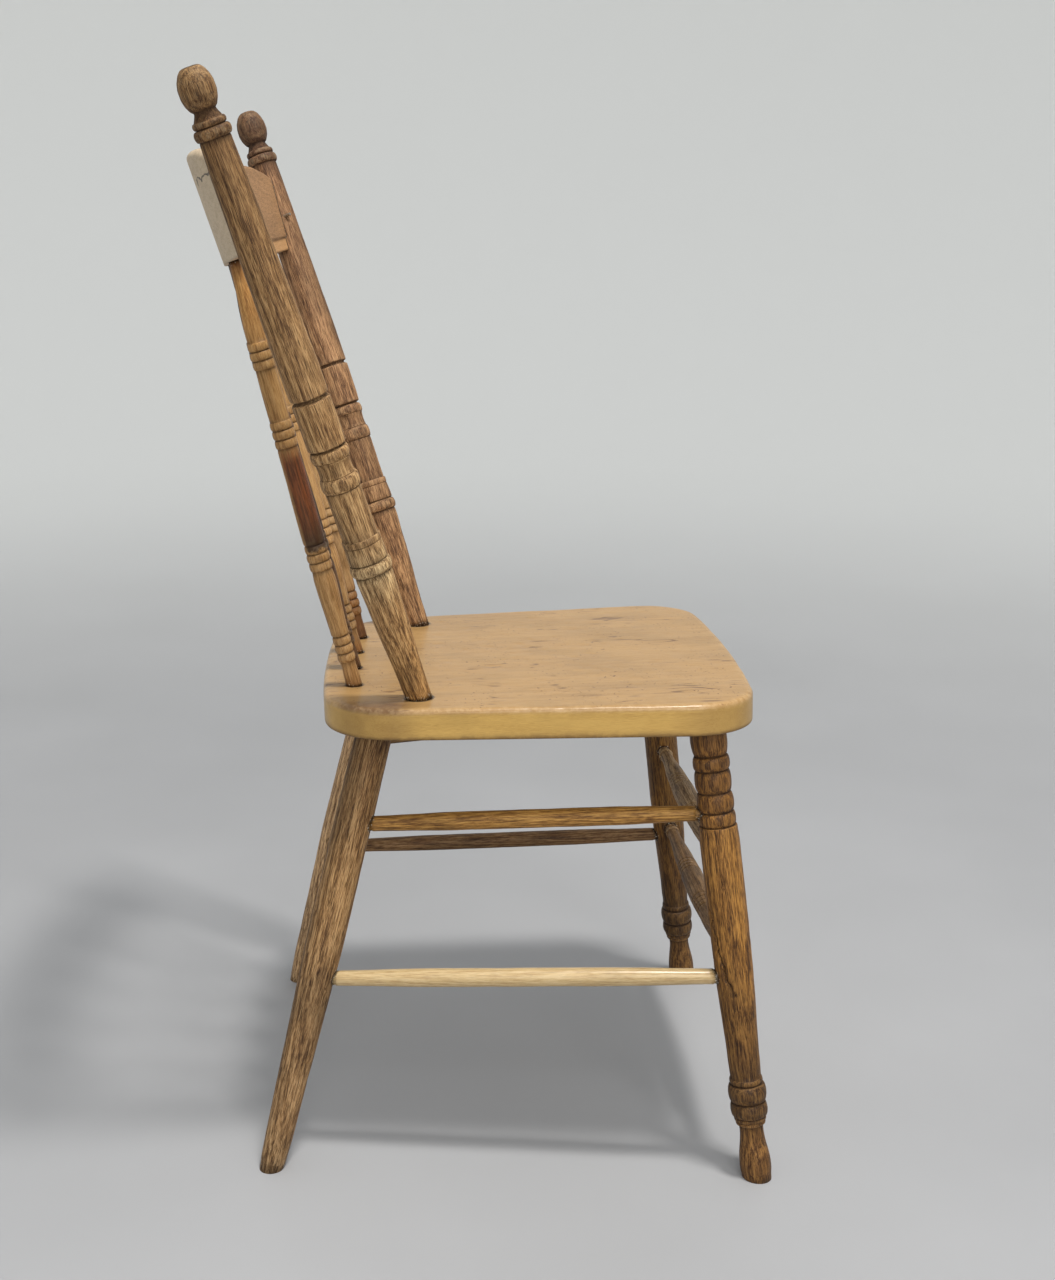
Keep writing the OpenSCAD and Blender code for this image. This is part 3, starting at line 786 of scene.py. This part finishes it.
def grain_colour(g, f, tones, grains, moved):
    """The wood's own colour: its grain picks among the three tones, and broad blotches darken it."""
    rings, streaks, fibres = grains
    fibre_share = 1 - f["streak_share"] - f["ring_share"]
    coarse = g.math("ADD", g.times(rings, f["ring_share"]), g.times(fibres, fibre_share))
    tone = g.math("ADD", g.times(streaks, f["streak_share"]), coarse)
    half_range = 0.2 / f["contrast"]
    tone = g.steps(tone, 0.5 - half_range, 0.5 + half_range)
    colour = g.ramp(tone, [(at, linear(*shade)) for at, shade in zip((0.0, 0.5, 1.0), tones)])
    blotch = g.noise(g.drawn_out(moved, 0.4), 45 * MM, 3, 0.6)
    shade = g.steps(g.steps(blotch, 0.38, 0.68), 0, 1, 1.0, 1 - f["blotch"])
    return g.mix(1.0, colour, g.add("CombineColor", {0: shade, 1: shade, 2: shade}).outputs[0], "MULTIPLY")


def tinted(g, bands, place, moved, colour):
    """The colour times the tints that lie along the piece."""
    start, end, stops = bands
    along = g.add("SeparateXYZ", {0: place}).outputs["Z"]
    wobble = g.wobble(moved, 9 * MM, 0.05, 3, 0.6)
    share = g.add("MapRange", {"Value": along, "From Min": start, "From Max": end}).outputs[0]
    tint = g.ramp(g.math("ADD", share, wobble), [(t, (*tint, 1)) for t, tint in stops])
    return g.mix(1.0, colour, tint, "MULTIPLY")


def dirtied(g, f, moved, colour):
    """Adds dirt in the cuts, wear on the rims, and a dark line with pale specks round every joint."""
    def lay(share, strength, colour_name, clamp=True):
        return g.mix(g.times(share, strength, clamp=clamp), colour, linear(*f[colour_name]))

    grime = g.noise(moved, 5 * MM, 3, 0.65)
    cut = g.times(g.attribute("cut"), g.steps(grime, 0.2, 0.6, 0.55, 1.0))
    colour = lay(cut, f["dirt"], "dirt_colour")
    rim = g.times(g.attribute("rim"), g.steps(grime, 0.42, 0.62))
    colour = lay(rim, f["wear"], "wear_colour")
    seam = g.times(g.attribute("seam"), g.steps(grime, 0.25, 0.5, 0.6, 1.0))
    colour = lay(g.steps(seam, 0.25, 0.85), 0.85, "seam_colour", clamp=False)
    specks = g.times(g.steps(g.noise(moved, 1.5 * MM, 2, 0.5), 0.6, 0.66),
                     g.steps(g.attribute("seam"), 0.12, 0.4))
    return lay(specks, f["specks"], "speck_colour")


def wood(name, seed, tones, extra=None, **changes):
    """The material of one wooden piece; FINISH_DEFAULTS lists what changes may name."""
    f = dict(FINISH_DEFAULTS, **changes)
    rng = np.random.default_rng(seed)
    g = Shader(name)
    place = g.add("Attribute", {}, attribute_name="own_place").outputs["Vector"]
    moved = g.vector("ADD", place, tuple(rng.uniform(-3, 3, 3)))
    rings, streaks, fibres, pores = wood_grain(g, f, place, moved)
    colour = grain_colour(g, f, tones, (rings, streaks, fibres), moved)
    if f["bands"]:
        colour = tinted(g, f["bands"], place, moved, colour)
    if extra:
        colour = extra(g, place, moved, colour)
    colour = g.mix(g.times(pores, f["pores"]), colour, linear(*f["dirt_colour"]))
    colour = dirtied(g, f, moved, colour)
    rough = g.steps(g.math("ADD", fibres, g.attribute("cut")), 0.2, 1.4, f["rough"], f["rough"] + 0.25)
    rough = g.math("ADD", g.times(pores, 0.2), rough)
    height = g.math("ADD", g.times(fibres, 0.5), g.times(streaks, 0.5))
    height = g.math("SUBTRACT", height, g.times(pores, 0.7))
    return g.finished(colour, rough, Normal=g.bump(height, f["bump"], 0.35 * MM),
                      Specular_IOR_Level=f["gloss"], Coat_Weight=f["coat"], Coat_Roughness=0.22)


def pin_metal():
    """Bright drawn steel, a little tarnished."""
    g = Shader("pin_steel")
    place = g.add("TexCoord", {}).outputs["Object"]
    tarnish = g.noise(place, 1.2 * MM, 3, 0.6)
    colour = g.ramp(tarnish, [(0.35, linear(96, 84, 70)), (0.6, linear(205, 200, 190))])
    rough = g.steps(tarnish, 0.3, 0.7, 0.55, 0.25)
    return g.finished(colour, rough, Metallic=1.0, Normal=g.bump(tarnish, 0.2, 0.1 * MM))


# The crest rail: heights are above its bottom edge, and CRACK_END is from the chair's middle
CRACK_UP = 76 * MM
CRACK_END = -112 * MM
CRACK_FADE = 8 * MM
BARE_STRIP = 12 * MM
CREAM = (232, 214, 182)
DRAB = (148, 120, 88)
CRACK_COLOUR = (48, 34, 24)
STRIP_COLOUR = (206, 158, 104)


def two_faced(g, place, moved, colour):
    """The rail's back is bleached and has a short crack; its front keeps its varnish above a lower strip."""
    parts = g.add("SeparateXYZ", {0: place})
    up = parts.outputs["Y"]
    wander = g.times(g.noise(g.drawn_out(moved, 0.4), 12 * MM, 2, 0.5), 14 * MM)
    gap = g.math("ABSOLUTE", g.math("SUBTRACT", g.math("ADD", up, wander), CRACK_UP))
    crack = g.times(g.steps(gap, 0.5 * MM, 1.3 * MM, 1.0, 0.0),
                    g.steps(parts.outputs["Z"], CRACK_END, CRACK_END - CRACK_FADE))
    bare = g.mix(0.55, colour, linear(*CREAM))
    drab = g.steps(g.noise(g.drawn_out(moved, 0.2), 5 * MM, 4, 0.65), 0.4, 0.66)
    bare = g.mix(g.times(drab, 0.3), bare, linear(*DRAB))
    bare = g.mix(g.times(crack, 0.85), bare, linear(*CRACK_COLOUR))
    strip = g.steps(up, BARE_STRIP - 1 * MM, BARE_STRIP, 1.0, 0.0)
    colour = g.mix(g.times(strip, 0.35), colour, linear(*STRIP_COLOUR))
    uneven = g.wobble(moved, 8 * MM, 0.5, 3, 0.6)
    worn = g.math("ADD", g.attribute("back_face"), uneven)
    return g.mix(g.steps(worn, 0.35, 0.6), colour, bare)


# The seat: depths are below its top, and the other places are from the middle of its top face
# The corners behind the posts are stained, and the same dark patch stands for the posts' painted shadow
# falling back across the seat
STAIN_AND_SHADOW_ACROSS = (138 * MM, 165 * MM)
STAIN_AND_SHADOW_BACK = (15 * MM, 45 * MM)
DULL_FRONT = (-190 * MM, -235 * MM)
EDGE_DEPTH = (2.5 * MM, 7 * MM)
UNDER_DEPTH = (20 * MM, 27 * MM)
# The tint of the seat's side faces and underside: partly their own yellower hue, partly painted light that
# makes them lighter
EDGE_OCHRE_AND_LIGHT = (1.38, 1.42, 1.0, 1)
# The colour of the seat's stains, of the painted shadow behind the posts, and of its darker bottom
STAIN_AND_SHADE_COLOUR = (92, 64, 38)
SCRATCH_COLOUR = (84, 52, 28)


def scratched(g, moved):
    """How much of the seat's varnish is gone: long thin scratches in a few places, and small flecks."""
    lean = g.noise(g.drawn_out(moved, 0.15), 14 * MM, 2, 0.5)
    line = g.steps(g.math("ABSOLUTE", g.math("SUBTRACT", lean, 0.5)), 0.01, 0.026, 1.0, 0.0)
    few = g.steps(g.noise(moved, 45 * MM, 2, 0.5), 0.55, 0.62)
    spots = g.steps(g.noise(g.vector("MULTIPLY", moved, (0.6, 1, 0.8)), 2.2 * MM, 2, 0.5), 0.655, 0.69)
    some = g.steps(g.noise(moved, 40 * MM, 2, 0.5), 0.4, 0.55)
    return g.math("MAXIMUM", g.times(g.times(line, few), 0.7), g.times(g.times(spots, some), 0.75))


def seat_wear_and_painted_light(g, place, moved, colour):
    """The seat's side faces are made lighter and yellower, partly their own hue and partly painted light; its
    top is scratched; it is stained behind the posts, where a painted shadow of the posts falls too; and it is
    darker towards the bottom and underneath.
    """
    parts = g.add("SeparateXYZ", {0: place})
    across, depth, back = (parts.outputs[axis] for axis in "XYZ")
    # Painted light, with the edge's own yellower hue: below the top edge the seat is made lighter and
    # yellower
    ochre_and_light = g.mix(1.0, colour, EDGE_OCHRE_AND_LIGHT, "MULTIPLY")
    colour = g.mix(g.steps(depth, *EDGE_DEPTH), colour, ochre_and_light)
    marks = g.times(scratched(g, moved), g.steps(depth, 1 * MM, 3 * MM, 1.0, 0.0))
    colour = g.mix(marks, colour, linear(*SCRATCH_COLOUR))
    patches = g.noise(moved, 18 * MM, 4, 0.65)
    # Stain and painted shadow: the corners behind the posts are darkened where the posts' shadows fall
    corner_stain_and_shadow = g.times(g.steps(g.math("ABSOLUTE", across), *STAIN_AND_SHADOW_ACROSS), g.steps(back, *STAIN_AND_SHADOW_BACK))
    stain_and_shade = g.times(corner_stain_and_shadow, g.steps(patches, 0.3, 0.6, 0.7, 1.0))
    stain_and_shade = g.times(stain_and_shade, g.steps(depth, 2 * MM, 7 * MM, 1.0, 0.4))
    front = g.times(g.steps(back, *DULL_FRONT), g.steps(depth, 1 * MM, 8 * MM))
    stain_and_shade = g.math("MAXIMUM", stain_and_shade, g.times(front, 0.35))
    # Darker towards the bottom of the side faces and underneath
    under = g.steps(depth, *UNDER_DEPTH, 0.0, 0.5)
    stain_and_shade = g.math("MAXIMUM", stain_and_shade, g.times(under, g.steps(patches, 0.35, 0.6, 0.3, 1.0)))
    return g.mix(g.times(stain_and_shade, 0.92), colour, linear(*STAIN_AND_SHADE_COLOUR))


# Spindle 1: where its old varnish starts and ends, and where its black lower end turns red
VARNISH_START = (141 * MM, 145 * MM)
VARNISH_END = (222 * MM, 245 * MM)
BLACK_TO_RED = (145 * MM, 185 * MM)


def stripped(g, place, moved, colour):
    """Old dark varnish is left on one side of the spindle's middle, and ends in a ragged edge."""
    parts = g.add("SeparateXYZ", {0: place})
    ragged = g.wobble(moved, 6 * MM, 14 * MM, 4, 0.7)
    along = g.math("ADD", parts.outputs["Z"], ragged)
    left = g.times(g.steps(along, *VARNISH_START), g.steps(along, *VARNISH_END, 1.0, 0.0))
    turn = g.math("SUBTRACT", g.times(parts.outputs["X"], -0.6), parts.outputs["Y"])
    facing = g.steps(g.math("ADD", turn, g.times(ragged, 0.25)), -6 * MM, -1 * MM)
    grain = g.noise(g.drawn_out(moved, 0.1), 2 * MM, 4, 0.65)
    red = g.mix(g.steps(grain, 0.36, 0.62), linear(60, 26, 12), linear(116, 58, 27))
    varnish = g.mix(g.steps(along, *BLACK_TO_RED), linear(34, 16, 9), red)
    return g.mix(g.times(g.times(left, facing), 0.88), colour, varnish)


# ---------------- the finish of each piece
# Tones are dark, middle and light. A piece's place in FINISHES seeds its grain.
PALE = dict(tones=((122, 86, 48), (164, 126, 80), (192, 156, 108)), contrast=1.1, pores=0.35, blotch=0.3,
            rough=0.42, bump=0.45)
WARM = dict(tones=((54, 31, 13), (124, 84, 38), (168, 122, 62)), contrast=1.7, pores=0.75, rough=0.46,
            bump=0.6, wear=0.05)
DULL = dict(tones=((66, 42, 24), (122, 88, 54), (160, 126, 86)), rough=0.52)
GREYED = dict(rough=0.6, bump=0.9, wear=0.15)
REAR_LEG = dict(pores=0.75, contrast=1.7, rough=0.58, bump=0.9)

FINISHES = {
    "seat": dict(
        tones=((149, 114, 68), (163, 128, 80), (171, 136, 87)), ring=9 * MM, pith=(30 * MM, 70 * MM),
        ring_share=0.03, contrast=1.0, streak=9 * MM, pores=0.1, blotch=0.13, rough=0.36, bump=0.1, coat=0.3,
        wear=0.2, wear_colour=(222, 192, 146), dirt_colour=(70, 42, 20), specks=0.2),
    "crest_rail": dict(
        tones=((112, 82, 54), (142, 107, 73), (160, 124, 88)), ring=4 * MM, pith=(60 * MM, 90 * MM),
        ring_share=0.03, contrast=1.3, pores=0.25, blotch=0.15, rough=0.5, bump=0.3, specks=0.2),
    "post_right": dict(GREYED, tones=((74, 48, 26), (146, 110, 70), (190, 154, 108)), pores=0.75, specks=0.7),
    "post_left": dict(GREYED, tones=((68, 44, 28), (140, 103, 71), (186, 147, 106)), pores=0.65),
    "spindle_1": PALE,
    "spindle_2": dict(tones=((48, 30, 15), (84, 55, 30), (110, 76, 44)), rough=0.45),
    "spindle_3": PALE,
    "spindle_4": PALE,
    "leg_front_right": dict(WARM, blotch=0.3),
    "leg_front_left": dict(WARM, blotch=0.4),
    "leg_rear_right": dict(REAR_LEG, tones=((76, 50, 27), (140, 104, 64), (184, 148, 104))),
    # Painted light: the far rear leg's tones are lighter, to offset the shade it stands in behind the near
    # leg
    "leg_rear_left": dict(REAR_LEG, tones=((94, 66, 42), (186, 147, 104), (234, 194, 146))),
    "side_stretcher_high_right": dict(tones=((84, 52, 22), (152, 108, 52), (190, 144, 76)), rough=0.44,
                                      bump=0.6),
    "side_stretcher_high_left": dict(DULL, bump=0.6),
    "side_stretcher_low_right": dict(tones=((156, 124, 80), (191, 164, 118), (212, 188, 146)), contrast=0.9,
                                     pores=0.25, blotch=0.12, rough=0.3, bump=0.2, coat=0.3),
    "side_stretcher_low_left": dict(DULL, bump=0.6),
    "front_stretcher_high": dict(tones=((84, 58, 34), (156, 123, 82), (200, 168, 124)), rough=0.52, bump=0.6),
    "front_stretcher_low": dict(tones=((72, 48, 28), (124, 92, 58), (162, 128, 88)), rough=0.52, bump=0.6),
    "rear_stretcher": DULL,
}

EXTRAS = {"crest_rail": two_faced, "seat": seat_wear_and_painted_light, "spindle_1": stripped}

# Tints along a piece, from its foot at 0 to its head at 1
POST_TINTS = [(0.0, (1.08, 1.0, 0.8)), (0.16, (1.06, 1.04, 0.98)), (0.22, (1.52, 1.74, 1.95)),
              (0.27, (0.92, 0.93, 0.92)), (0.42, (1.06, 1.05, 1.0)), (0.6, (0.84, 0.82, 0.78)),
              (0.85, (0.6, 0.56, 0.5)), (0.93, (0.42, 0.36, 0.3)), (1.0, (0.7, 0.68, 0.62))]
FRONT_LEG_TINTS = [(0.0, (0.7, 0.7, 0.8)), (0.12, (0.85, 0.85, 0.95)), (0.14, (0.5, 0.52, 0.62)),
                   (0.24, (0.62, 0.64, 0.74)), (0.28, (0.84, 0.84, 0.88)), (0.55, (1.12, 1.1, 1.0)),
                   (0.76, (1.12, 1.1, 1.02)), (0.83, (0.82, 0.76, 0.66)), (1.0, (0.72, 0.66, 0.56))]
BANDS = {
    "post_right": POST_TINTS,
    "post_left": [(0.0, (1.08, 1.06, 0.98)), (0.45, (1.06, 1.03, 0.98)), (0.85, (0.85, 0.8, 0.78)),
                  (0.93, (0.45, 0.38, 0.36)), (1.0, (0.62, 0.58, 0.56))],
    "leg_front_right": FRONT_LEG_TINTS,
    "leg_front_left": [(t, tuple(0.82 * v for v in tint)) for t, tint in FRONT_LEG_TINTS],
    "leg_rear_right": [(0.0, (0.8, 0.84, 0.9)), (0.1, (1.0, 1.02, 1.06)), (0.35, (0.8, 0.8, 0.8)),
                       (0.65, (1.06, 1.04, 0.98)), (1.0, (0.82, 0.8, 0.76))],
    "spindle_1": [(0.0, (0.6, 0.52, 0.44)), (0.03, (0.88, 0.84, 0.78)), (0.32, (0.9, 0.86, 0.78)),
                  (0.60, (0.84, 0.76, 0.62)), (0.78, (0.96, 0.92, 0.8)), (0.84, (1.25, 1.12, 0.88)),
                  (0.95, (1.2, 1.04, 0.76)), (1.0, (0.5, 0.36, 0.24))],
    "spindle_4": [(0.0, (0.35, 0.24, 0.16)), (0.10, (0.6, 0.45, 0.32)), (0.16, (1, 1, 1)),
                  (1.0, (1, 0.96, 0.9))],
    "spindle_3": [(0.0, (0.55, 0.42, 0.3)), (0.05, (1, 0.97, 0.92)), (1.0, (0.98, 0.93, 0.85))],
}


# ---------------- putting the chair together
def seams(piece, own):
    """How near each vertex is to where its piece enters another: 1 in the joint, 0 away from it."""
    points = world_points(piece)
    nearness = np.zeros(len(points))
    fade = 2.2 * MM
    for node, turned in TURNED.items():
        if node != own and own in touching(node):
            nearness = np.maximum(nearness, np.exp(-(turned.clearance(points) / fade) ** 2))
    if own in TURNED:
        for point, normal in TURNED[own].ends:
            if point is not ON_FLOOR[0]:
                gap = np.maximum(-(points - point) @ normal - SINK, 0)
                nearness = np.maximum(nearness, np.exp(-(gap / fade) ** 2))
    return nearness


def touching(node):
    """The nodes that a turned node goes into, or that it takes in."""
    side = "right" if node.endswith("right") else "left"
    if node.startswith(("post", "spindle")):
        return ("seat", "crest_rail")
    if node.startswith("side_stretcher"):
        return (f"leg_front_{side}", f"leg_rear_{side}")
    if node.startswith("front_stretcher"):
        return ("leg_front_right", "leg_front_left")
    if node == "rear_stretcher":
        return ("leg_rear_right", "leg_rear_left")
    level = [n for n in TURNED if n.startswith("side_stretcher") and n.endswith(side)]
    if node.startswith("leg_front"):
        return ("seat", "front_stretcher_high", "front_stretcher_low", *level)
    return ("seat", "rear_stretcher", *level)


def keep_own_place(piece):
    """Stores the piece's own coordinates, which its wood follows, and moves its mesh into the frame."""
    own_place = piece.data.attributes.new("own_place", "FLOAT_VECTOR", "POINT")
    own_place.data.foreach_set("vector", points_of(piece.data).ravel())
    piece.data.transform(piece.matrix_world)
    piece.matrix_world = Matrix.Identity(4)


def keep_in_box(piece):
    """Pushes back the few vertices that would reach past the CAD model's own box."""
    low, high = np.array(CAD_BOX)
    move_points(piece, np.clip(points_of(piece.data), low, high))


def dress(piece, node):
    """Gives a piece its seams, its finish and its place in the frame."""
    set_attribute(piece, "seam", seams(piece, node))
    smooth_shade(piece)
    keep_own_place(piece)
    keep_in_box(piece)
    finish = dict(FINISHES[node])
    if node in BANDS:
        length = TURNED[node].along[-1] - TURNED[node].along[0]
        finish["bands"] = (REACH, REACH + length, BANDS[node])
    finish["extra"] = EXTRAS.get(node)
    seed = 1 + list(FINISHES).index(node)
    piece.data.materials.append(wood(f"{node}_wood_finish", seed, **finish))
    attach(piece, "root")
    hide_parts(node)


def add_relief(piece, turned, split=0.0):
    along = (world_points(piece) - turned.middle) @ turned.direction
    cut, rim = turned.relief(along)
    set_attribute(piece, "cut", np.maximum(cut, split))
    set_attribute(piece, "rim", rim)


def meeting(turned, across):
    """Distance along a turned piece's axis at which another piece's axis comes nearest to it."""
    lean = across.direction @ turned.direction
    gap = across.middle - turned.middle
    return (turned.direction @ gap - lean * (across.direction @ gap)) / (1 - lean * lean)


def open_split(piece, turned, low, high):
    """Opens a drying split that winds up the leg from a knot on its outer face, at low, to its rear, at high.

    Returns how deep in it each vertex is, from 0 to 1.
    """
    split_depth, knot_depth = 3.2 * MM, 1.3 * MM
    knot_width, knot_height = 2.6 * MM, 3.4 * MM
    local = points_of(piece.data)
    start = (np.array(piece.matrix_world.translation) - turned.middle) @ turned.direction
    share = (local[:, 2] + start - low) / (high - low)
    radius = np.hypot(local[:, 0], local[:, 1])
    outer, rear = math.pi - 0.34, math.pi / 2 + 0.3
    wander = 0.05 * np.sin(share * 23) + 0.03 * np.sin(share * 61 + 1)
    line = outer + (rear - outer) * share.clip(0, 1) ** 0.7
    angle = np.arctan2(local[:, 1], local[:, 0])
    beside = radius * (angle - line - wander)
    open_here = np.clip(share * 9, 0, 1) * np.clip((1 - share) * 5, 0, 1)
    width = (0.8 + 0.8 * (1 - share.clip(0, 1))) * MM
    split = open_here * np.exp(-(beside / width) ** 2)
    knot = np.exp(-(beside / knot_width) ** 2 - ((local[:, 2] + start - low) / knot_height) ** 2)
    depth = split_depth * split + knot_depth * knot
    local[:, :2] *= (1 - depth / radius.clip(1 * MM))[:, None]
    move_points(piece, local)
    return np.clip(split + knot, 0, 1)


SLIM = (44, 6)            # points round a slim piece, and the knocks on it
STOUT = (72, 22)          # the same for a post or a leg
SPLIT = (144, 22)         # the same for the leg with the split
JOINT_ZONE = 11 * MM      # how far either side of a joint a leg has closer rings
KNOT_BELOW = 12 * MM      # from the low stretcher's joint down to the knot that starts the split
SPLIT_LENGTH = 82 * MM

for number, (node, turned) in enumerate(TURNED.items()):
    joints = [meeting(turned, TURNED[other]) for other in touching(node)
              if node.startswith("leg") and other in TURNED]
    zones = [(joint - JOINT_ZONE, joint + JOINT_ZONE) for joint in joints]
    has_split = node == "leg_front_right"
    if has_split:
        knot_place = meeting(turned, TURNED["side_stretcher_low_right"]) - KNOT_BELOW
        split_top = knot_place + SPLIT_LENGTH
        zones.append((knot_place - 5 * MM, split_top))
    stout = SPLIT if has_split else STOUT
    segments, knocks = stout if node.startswith(("post", "leg")) else SLIM
    piece = turn_piece(node, 100 + number, segments, knocks, zones)
    split = open_split(piece, turned, knot_place, split_top) if has_split else 0.0
    add_relief(piece, turned, split)
    dress(piece, node)

dress(seat_piece(), "seat")
dress(rail_piece(), "crest_rail")

steel = pin_metal()
for side in SIDES:
    pin = NODES[f"crest_pin_{side}"]
    pin.data.materials.clear()
    pin.data.materials.append(steel)


# ---------------- floor, light and camera
def floor():
    """A pale round floor whose far edge sweeps up all round, so that no horizon shows; its paint turns paler
    with distance, as painted light on the far floor and the sweep.
    """
    flat, sweep, wall, count = 4.2, 2.6, 5.5, 96
    outline = [(flat * share, 0) for share in (0.02, 0.25, 0.5, 0.75, 1)]
    outline += [(flat + sweep * math.sin(turn), sweep * (1 - math.cos(turn)))
                for turn in np.linspace(0, math.pi / 2, 24)[1:]]
    outline.append((flat + sweep, wall))
    angle = np.arange(count) * 2 * math.pi / count
    vertices = np.vstack([np.stack([r * np.cos(angle), r * np.sin(angle), np.full(count, z)], 1)
                          for r, z in outline])
    faces = grid_faces(len(outline), count, closed=True) + [tuple(range(count))[::-1]]
    stand = new_piece("floor", vertices, faces, Matrix.Identity(4))
    smooth_shade(stand)
    g = Shader("floor_paint")
    place = g.add("TexCoord", {}).outputs["Object"]
    tone = g.noise(place, 0.5, 3, 0.5)
    colour = g.ramp(tone, [(0.3, linear(155, 155, 156)), (0.7, linear(162, 162, 163))])
    # Painted light: the far floor and the sweep are painted paler than the floor near the chair
    far = g.steps(g.length(g.drawn_out(place, 0)), 0.9, 4.6)
    colour = g.mix(far, colour, linear(236, 236, 233))
    stand.data.materials.append(g.finished(colour, g.steps(tone, 0.3, 0.7, 0.6, 0.7)))


def soft_light(name, place, target, size, power, tint):
    data = bpy.data.lights.new(name, "AREA")
    data.shape = "SQUARE"
    data.size = size
    data.energy = power
    data.color = tint
    turn = (Vector(target) - Vector(place)).to_track_quat("-Z", "Y").to_matrix().to_4x4()
    placed(name, data, Matrix.Translation(place) @ turn)


def camera():
    """The camera at the height, distance and turn from which the chair is seen side on."""
    yaw, pitch, roll = (math.radians(a) for a in (0.885, 13.836, -0.306))
    data = bpy.data.cameras.new("camera")
    data.sensor_width = 36
    data.lens = 45.09
    data.shift_x = 0.1098
    turn = (Matrix.Rotation(yaw - math.pi / 2, 4, "Z") @ Matrix.Rotation(math.pi / 2 - pitch, 4, "X")
            @ Matrix.Rotation(roll, 4, "Z"))
    eye = (-1.5076, 0.063, 0.8223)
    bpy.context.scene.camera = placed("camera", data, Matrix.Translation(eye) @ turn)


def surroundings():
    world = bpy.data.worlds.new("studio")
    world.use_nodes = True
    background = world.node_tree.nodes["Background"]
    background.inputs["Color"].default_value = (0.93, 0.96, 1.0, 1)
    background.inputs["Strength"].default_value = 0.7
    bpy.context.scene.world = world
    bpy.context.scene.view_settings.view_transform = "Standard"


floor()
camera()
surroundings()
soft_light("key", (-0.5, -0.45, 3.2), (0, 0, 0.4), size=0.35, power=74, tint=(1.0, 0.985, 0.96))
soft_light("fill", (-3.2, -0.6, 2.0), (0, 0, 0.45), size=2.2, power=62, tint=(1.0, 0.99, 0.98))
